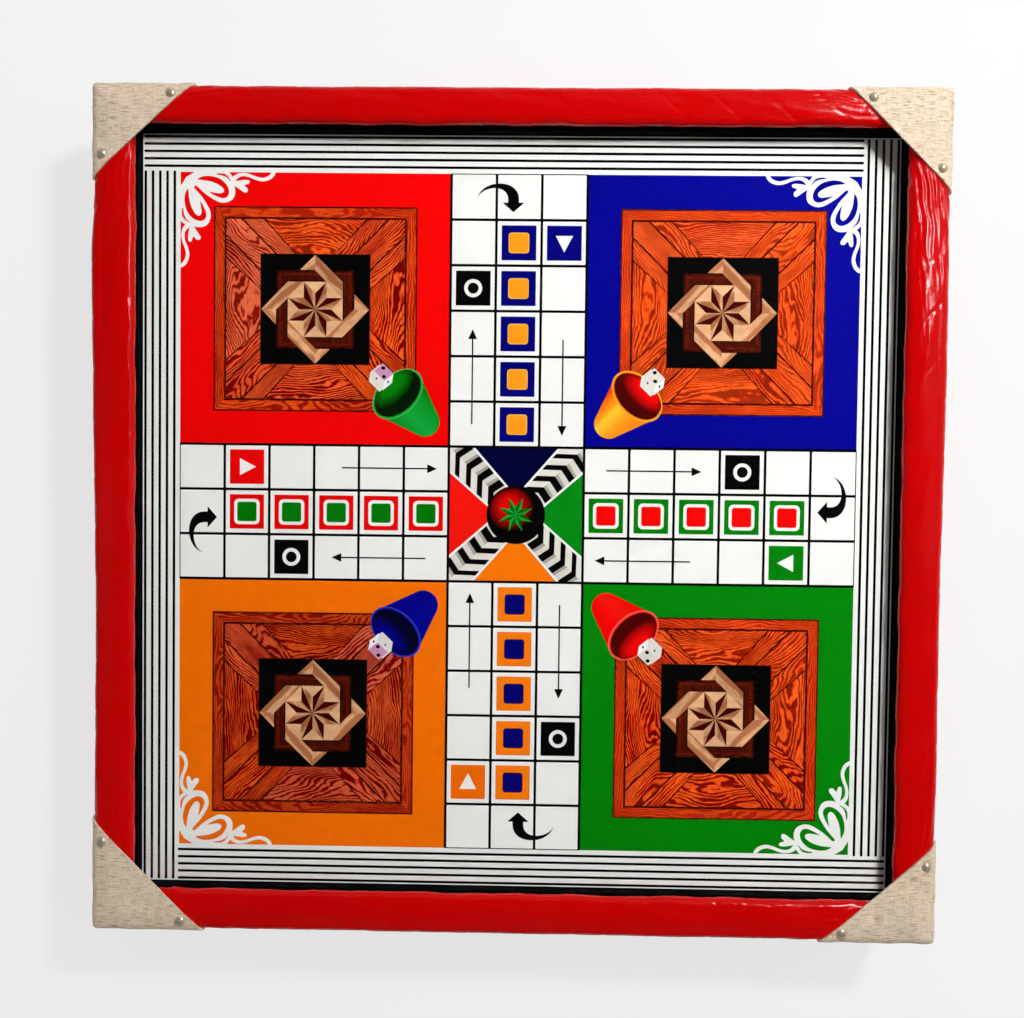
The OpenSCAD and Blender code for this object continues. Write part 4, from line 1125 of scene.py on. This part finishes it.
ROUND = np.linspace(0, 2 * np.pi, 48, endpoint=False)
CAP_R = (TACK_R ** 2 + TACK_H ** 2) / (2 * TACK_H)
rise = np.linspace(0, math.asin(TACK_R / CAP_R) * 0.93, 12)
dome = np.stack([CAP_R * np.sin(rise), TACK_H - CAP_R + CAP_R * np.cos(rise)], axis=1)
rim = [(TACK_R - 0.02, 0.32), (TACK_R, 0.15), (TACK_R - 0.12, 0.0), (0.7, 0.0), (0.7, -13.5)]
tack = revolve(np.concatenate([dome, rim]))
TACK_SEAT = crown_z(TACK_INSET + TACK_R) + PATCH_T - 0.5 + 0.05
seats = [(sx * x, sy * y, TACK_SEAT) for i, (sx, sy) in enumerate(PATCH_SIGN)
         for x, y in ((HALF - PATCH_X[i] + TACK_FROM_END, HALF - TACK_INSET),
                      (HALF - TACK_INSET, HALF - PATCH_Y[i] + TACK_FROM_END))]
tack_faces = [grid_faces(*tack.shape[:2], False, True) + n * tack.size // 3 for n in range(len(seats))]
tacks = make_piece("domed_tacks", [tack + seat for seat in seats], tack_faces, "lid", NICKEL,
                   ["corner_tacks"])
reshape(tacks.data)

# %% [markdown]
# ## Tray cover
# The same vinyl goes round the tray in one strip: turned in under the floor, up the sides and over the top
# edge. Its outline is carried round the box along a square path whose corners have the radius that is left
# at each inset, and it bulges a little between the corners, as glued cloth does.

# %%
TRAY_LOW, TRAY_HIGH, VINYL_T = 5.0, 46.0, 1.0
SKIN_OUT = np.concatenate([
    np.array([(14.0, TRAY_LOW), (8.0, TRAY_LOW)]),
    arc(2.2, TRAY_LOW + 2.2, 2.2, 270, 180, 8),
    np.stack([np.zeros(9), np.linspace(9.5, 42.5, 9)], axis=1),
    arc(2.0, TRAY_HIGH - 2.0, 2.0, 180, 90, 8),
    np.array([(6.0, TRAY_HIGH), (9.97, TRAY_HIGH)]),
])
SKIN_IN = np.array([(9.97, TRAY_HIGH - VINYL_T + 0.03), (1.03, TRAY_HIGH - VINYL_T + 0.03),
                    (1.03, TRAY_LOW + VINYL_T - 0.03), (14.0, TRAY_LOW + VINYL_T - 0.03)])
SKIN_LOOP = np.concatenate([SKIN_OUT, SKIN_IN])
SKIN_FREE = np.zeros(len(SKIN_LOOP))
SKIN_FREE[10:19] = np.sin(np.linspace(0, np.pi, 9))


def round_box(profile, lift_share):
    """Carry a closed profile of (inset, height) round the box. A side's points lie at the inset u, and a
    corner is an arc of the radius r = max(CORNER_R - u, 0) about the point max(CORNER_R, u) in."""
    u, z = profile[None, :, 0], profile[None, :, 1]
    centre = HALF - np.maximum(CORNER_R, u)
    radius = np.maximum(CORNER_R - u, 0)
    rings = []
    for k in range(4):
        share = np.linspace(-1, 1, 90)[:, None]
        s = share * centre
        give = 0.22 * waves(s + 4 * z, [140, 77, 41], 91 + k) * (1 - share ** 8)
        rings.append(points3(*on_side(s, -(HALF - u) - give * lift_share, k), z))
        turn = np.radians(np.linspace(-90, 0, 7)[1:-1])[:, None]
        rings.append(points3(*on_side(centre + radius * np.cos(turn), -centre + radius * np.sin(turn), k), z))
    return np.concatenate(rings)


skin_points = round_box(SKIN_LOOP, SKIN_FREE)
tray_skin = make_piece("tray_skin", skin_points, [grid_faces(*skin_points.shape[:2], True, True)], "tray",
                       RED_VINYL, ["tray_cover"], crease=50)
reshape(tray_skin.data, reach=0.00001)
around = (8 * (HALF - CORNER_R) + 2 * math.pi * CORNER_R) * MM

# %% [markdown]
# ## Screws
# Countersunk screws with a cross recess. A head is a round grid of points whose height is the slightly
# domed face less the recess, a cross with sloping walls. The cone under it and the thread's shank follow.

# %%
HEAD_R, SHANK_R, HEAD_H, SCREW_L = 2.85, 1.35, 1.5, 11.0


def screw_points():
    """Rings of one screw with its face at z = 0: z = 0.12 (1 - (r / R)^2) - recess, where the recess is
    0.75 deep inside |x| < 0.34, |y| < 1.5 or the same with x and y swapped, with walls 0.25 wide."""
    r = np.linspace(0.02, HEAD_R - 0.12, 15)[:, None]
    x, y = r * np.cos(ROUND), r * np.sin(ROUND)
    slots = [np.clip((0.34 - np.abs(a)) / 0.25 + 0.5, 0, 1) * np.clip((1.5 - np.abs(b)) / 0.25 + 0.5, 0, 1)
             for a, b in ((x, y), (y, x))]
    face = points3(x, y, 0.12 * (1 - (r / HEAD_R) ** 2) - 0.75 * np.maximum(*slots))
    turns = np.arange(22)
    thread = SHANK_R * np.where(turns % 2 == 0, 1.0, 0.78) * np.clip((22 - turns) / 3, 0.2, 1)
    lower = np.concatenate([[(HEAD_R, -0.12), (HEAD_R, -0.2), (SHANK_R * 0.85, -HEAD_H - 0.1)],
                            np.stack([thread, np.linspace(-HEAD_H - 0.6, -SCREW_L, 22)], axis=1)])
    return np.concatenate([face, revolve(lower)])


def place_screws(name, places, out, body):
    """One piece with a screw at each place, its face looking out along y."""
    one = screw_points()
    rings, columns, _ = one.shape
    caps = np.stack([np.arange(columns)[::-1], np.arange(columns) + (rings - 1) * columns])
    points, quads, ends = [], [], []
    for n, place in enumerate(places):
        c, s = math.cos(math.radians(37 * n)), math.sin(math.radians(37 * n))
        x, y, z = one[..., 0] * c - one[..., 1] * s, one[..., 0] * s + one[..., 1] * c, one[..., 2]
        points.append(points3(x, z * out, -y * out) + place)
        quads.append(grid_faces(rings, columns, False, True) + n * rings * columns)
        ends.append(caps + n * rings * columns)
    piece = make_piece(name, points, quads + ends, body, SCREW_STEEL, [body + "_screws"],
                       crease=35)
    reshape(piece.data)
    print(piece.name, len(places), "screws")


HINGE_X, LATCH_X, AXIS_Z = 180.0, 160.0, 46.2
STUD_PLATE_Z, PIVOT_PLATE_Z = 33.2, 63.2
HINGE_HOLE_Z, HINGE_PITCH, LATCH_PITCH = 13.9, 25.1, 9.6
PLATE_FACE = HALF + 1.5
for body, up, latch_z in (("tray", -1, STUD_PLATE_Z), ("lid", 1, PIVOT_PLATE_Z)):
    hinge_z = AXIS_Z + up * HINGE_HOLE_Z
    back = [(side * HINGE_X + n * HINGE_PITCH, PLATE_FACE, hinge_z) for side in (-1, 1) for n in (-1, 0, 1)]
    front = [(side * LATCH_X + n * LATCH_PITCH, -PLATE_FACE, latch_z) for side in (-1, 1) for n in (-1, 1)]
    place_screws(body + "_hinge_screws", back, 1, body)
    place_screws(body + "_latch_screws", front, -1, body)

# %% [markdown]
# ## Eased edges
# Nothing real has a knife edge. These pieces keep their construction shape, but their loose triangles are
# merged, flat faces joined, and every sharp edge is bevelled by a few tenths of a millimetre, so that it
# catches the light.


# %%
def eased(node, material, body, width):
    """A copy of a construction mesh with every edge sharper than 30 degrees bevelled by width mm."""
    def ease(shape):
        bmesh.ops.dissolve_limit(shape, angle_limit=math.radians(1), verts=shape.verts, edges=shape.edges)
        sharp = [edge for edge in shape.edges
                 if edge.is_manifold and edge.calc_face_angle() > math.radians(30)]
        bmesh.ops.bevel(shape, geom=sharp, offset=width * MM, segments=2, profile=0.5, affect="EDGES",
                        clamp_overlap=True)

    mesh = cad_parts[node].data.copy()
    reshape(mesh, reach=0.00001, change=ease)
    mesh.shade_smooth()
    mesh.set_sharp_from_angle(angle=math.radians(16))
    mesh.materials.clear()
    mesh.materials.append(material)
    piece = add_piece(node + "_eased", mesh, body, [node])
    print(piece.name, len(mesh.polygons), "faces")


for hook in ("hook_left", "hook_right"):
    eased(hook, NICKEL, hook, 0.35)
for side in ("left", "right"):
    eased(f"latch_{side}_stud", NICKEL, "tray", 0.25)
    eased(f"latch_{side}_pivot", NICKEL, "lid", 0.25)
    for part, body in (("tray_leaf", "tray"), ("lid_leaf", "lid"), ("pin", "tray")):
        eased(f"hinge_{side}_{part}", HINGE_STEEL, body, 0.25)
eased("slat_across", PINE_X, "tray", 0.6)
eased("slat_along", PINE_Y, "tray", 0.6)
eased("feet", RUBBER, "tray", 0.7)

# %% [markdown]
# ## Finishes of the construction pieces
# Pieces that are right as they stand keep their construction mesh and get a finish.

# %%
FINISHES = {"tray_floor": (PLYWOOD, "plywood"), "playing_panel": (PLYWOOD, "plywood"),
            "foot_screws": (SCREW_STEEL, "screw_steel"), "print_sheet": (PAPER, "print_paper"),
            "glass_pane": (GLASS, "clear_glass")}
for side, pine in (("front", PINE_X), ("back", PINE_X), ("left", PINE_Y), ("right", PINE_Y)):
    FINISHES["tray_wall_" + side] = FINISHES["lid_rail_" + side] = (pine, "pine")
    FINISHES["bead_" + side] = (BLACK_BEAD, "black_bead")
for node, (material, slot) in FINISHES.items():
    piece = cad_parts[node]
    piece.data.materials.clear()
    piece.data.materials.append(material)
print(len(FINISHES), "construction pieces have their finish")

# %% [markdown]
# ## Stage, light and camera
# The floor is pale, and shines a little of its own to the camera, so that it looks white and still shows
# the box's shadow. Glossy vinyl beside glass is hard to light: a lamp that brightens the print also shows
# as a white patch on the pane. A photographer puts a polarising filter before the large lamps, so that they
# light colours but aren't mirrored, and adds small bare lamps for the few highlights that shape the rim.
# Here the large lamps are hidden from glossy rays and the small ones from diffuse rays. What metal and vinyl
# mirror besides is a dark ceiling over pale walls, brighter towards the back right.

# %%
FLOOR_REACH = 3
floor_mesh = bpy.data.meshes.new("floor")
floor_mesh.from_pydata([(x, y, 0) for x, y in box(0, 0, 2 * FLOOR_REACH, 2 * FLOOR_REACH)], [], [range(4)])
floor = bpy.data.objects.new("floor", floor_mesh)
bpy.context.scene.collection.objects.link(floor)
material, tree, place = new_material("floor")
pale = put(tree, "BsdfDiffuse", {"Color": uneven(tree, place, (0.82, 0.82, 0.82, 1), 0.02, 5.0)})
white = put(tree, "Emission", {"Color": (1, 1, 1, 1), "Strength": 1.0})
share = calc(tree, "MULTIPLY", put(tree, "LightPath", out=0), 0.68)
output(tree, put(tree, "MixShader", {0: share, 1: pale, 2: white}))
floor_mesh.materials.append(material)

world = bpy.data.worlds.new("studio")
bpy.context.scene.world = world
world.use_nodes = True
world.cycles.sampling_method = "NONE"
tree = world.node_tree
tree.nodes.clear()
towards = put(tree, "TexCoord", out=0)
rising = put(tree, "SeparateXYZ", {0: towards}, out=2)
facing = put(tree, "VectorMath", {0: towards, 1: (0.6, 0.8, 0.0)}, operation="DOT_PRODUCT", out=1)
walls = calc(tree, "MULTIPLY", spread(tree, rising, 0.3, 0.7, 1.0, 0.0),
             spread(tree, facing, -0.6, 0.75, 0.15, 1.0), 0.27)
ambient, mirrored, behind = (put(tree, "Background", {"Color": (1, 1, 1, 1), "Strength": power})
                             for power in (0.2, calc(tree, "ADD", walls, 0.012), 1.0))
around = put(tree, "MixShader", {0: put(tree, "LightPath", out=3), 1: ambient, 2: mirrored})
output(tree, put(tree, "MixShader", {0: put(tree, "LightPath", out=0), 1: around, 2: behind}), "World")


def lamp(name, place, target, size, power):
    """A rectangular soft lamp aimed at a point. Its light reaches the print by the pane's clear way for
    shadow rays, so rays that the pane bends must not find the lamp a second time."""
    light = bpy.data.lights.new(name, "AREA")
    light.shape = "RECTANGLE"
    light.size, light.size_y = size
    light.energy = power
    holder = bpy.data.objects.new(name, light)
    holder.location = place
    holder.rotation_euler = (Vector(target) - Vector(place)).to_track_quat("-Z", "Y").to_euler()
    holder.visible_transmission = False
    bpy.context.scene.collection.objects.link(holder)
    return holder


BOARD_MIDDLE = (0, 0, 0.07)
for name, place, size, power in (
    ("main", (0.62, 0.66, 1.16), (0.16, 0.16), 12.2),
    ("soft right", (1.5, 0.3, 1.2), (0.9, 1.4), 6.0),
    ("soft back", (0.1, 1.6, 1.2), (1.4, 0.8), 5.0),
    ("soft left", (-1.5, -0.1, 1.4), (0.8, 1.4), 3.2),
    ("soft front", (0.0, -1.6, 1.3), (1.4, 0.7), 3.2),
):
    lamp(name, place, BOARD_MIDDLE, size, power).visible_glossy = False
for name, place, target, size, power in (
    ("window", (0.70, 0.45, 1.07), (0.70, 0.45, 0.0), (0.06, 0.20), 3.2),
    ("edge light", (1.05, 1.25, 1.65), (0.05, 0.05, 0.07), (0.3, 0.3), 13.5),
):
    lamp(name, place, target, size, power).visible_diffuse = False

# The lens is given by the photograph's focal length and width, both in pixels.
FOCAL_PIXELS, PHOTO_WIDTH, SENSOR = 996.5, 1024, 36.0
camera_data = bpy.data.cameras.new("camera")
camera = bpy.data.objects.new("camera", camera_data)
bpy.context.scene.collection.objects.link(camera)
camera_data.sensor_width = SENSOR
camera_data.lens = SENSOR * FOCAL_PIXELS / PHOTO_WIDTH
camera_data.clip_start = 0.01
camera.location = (0.0086, 0.0247, 0.8013)
camera.rotation_euler = np.radians([-1.59, 0.91, 0.68])
bpy.context.scene.camera = camera
bpy.context.scene.view_settings.view_transform = "Standard"
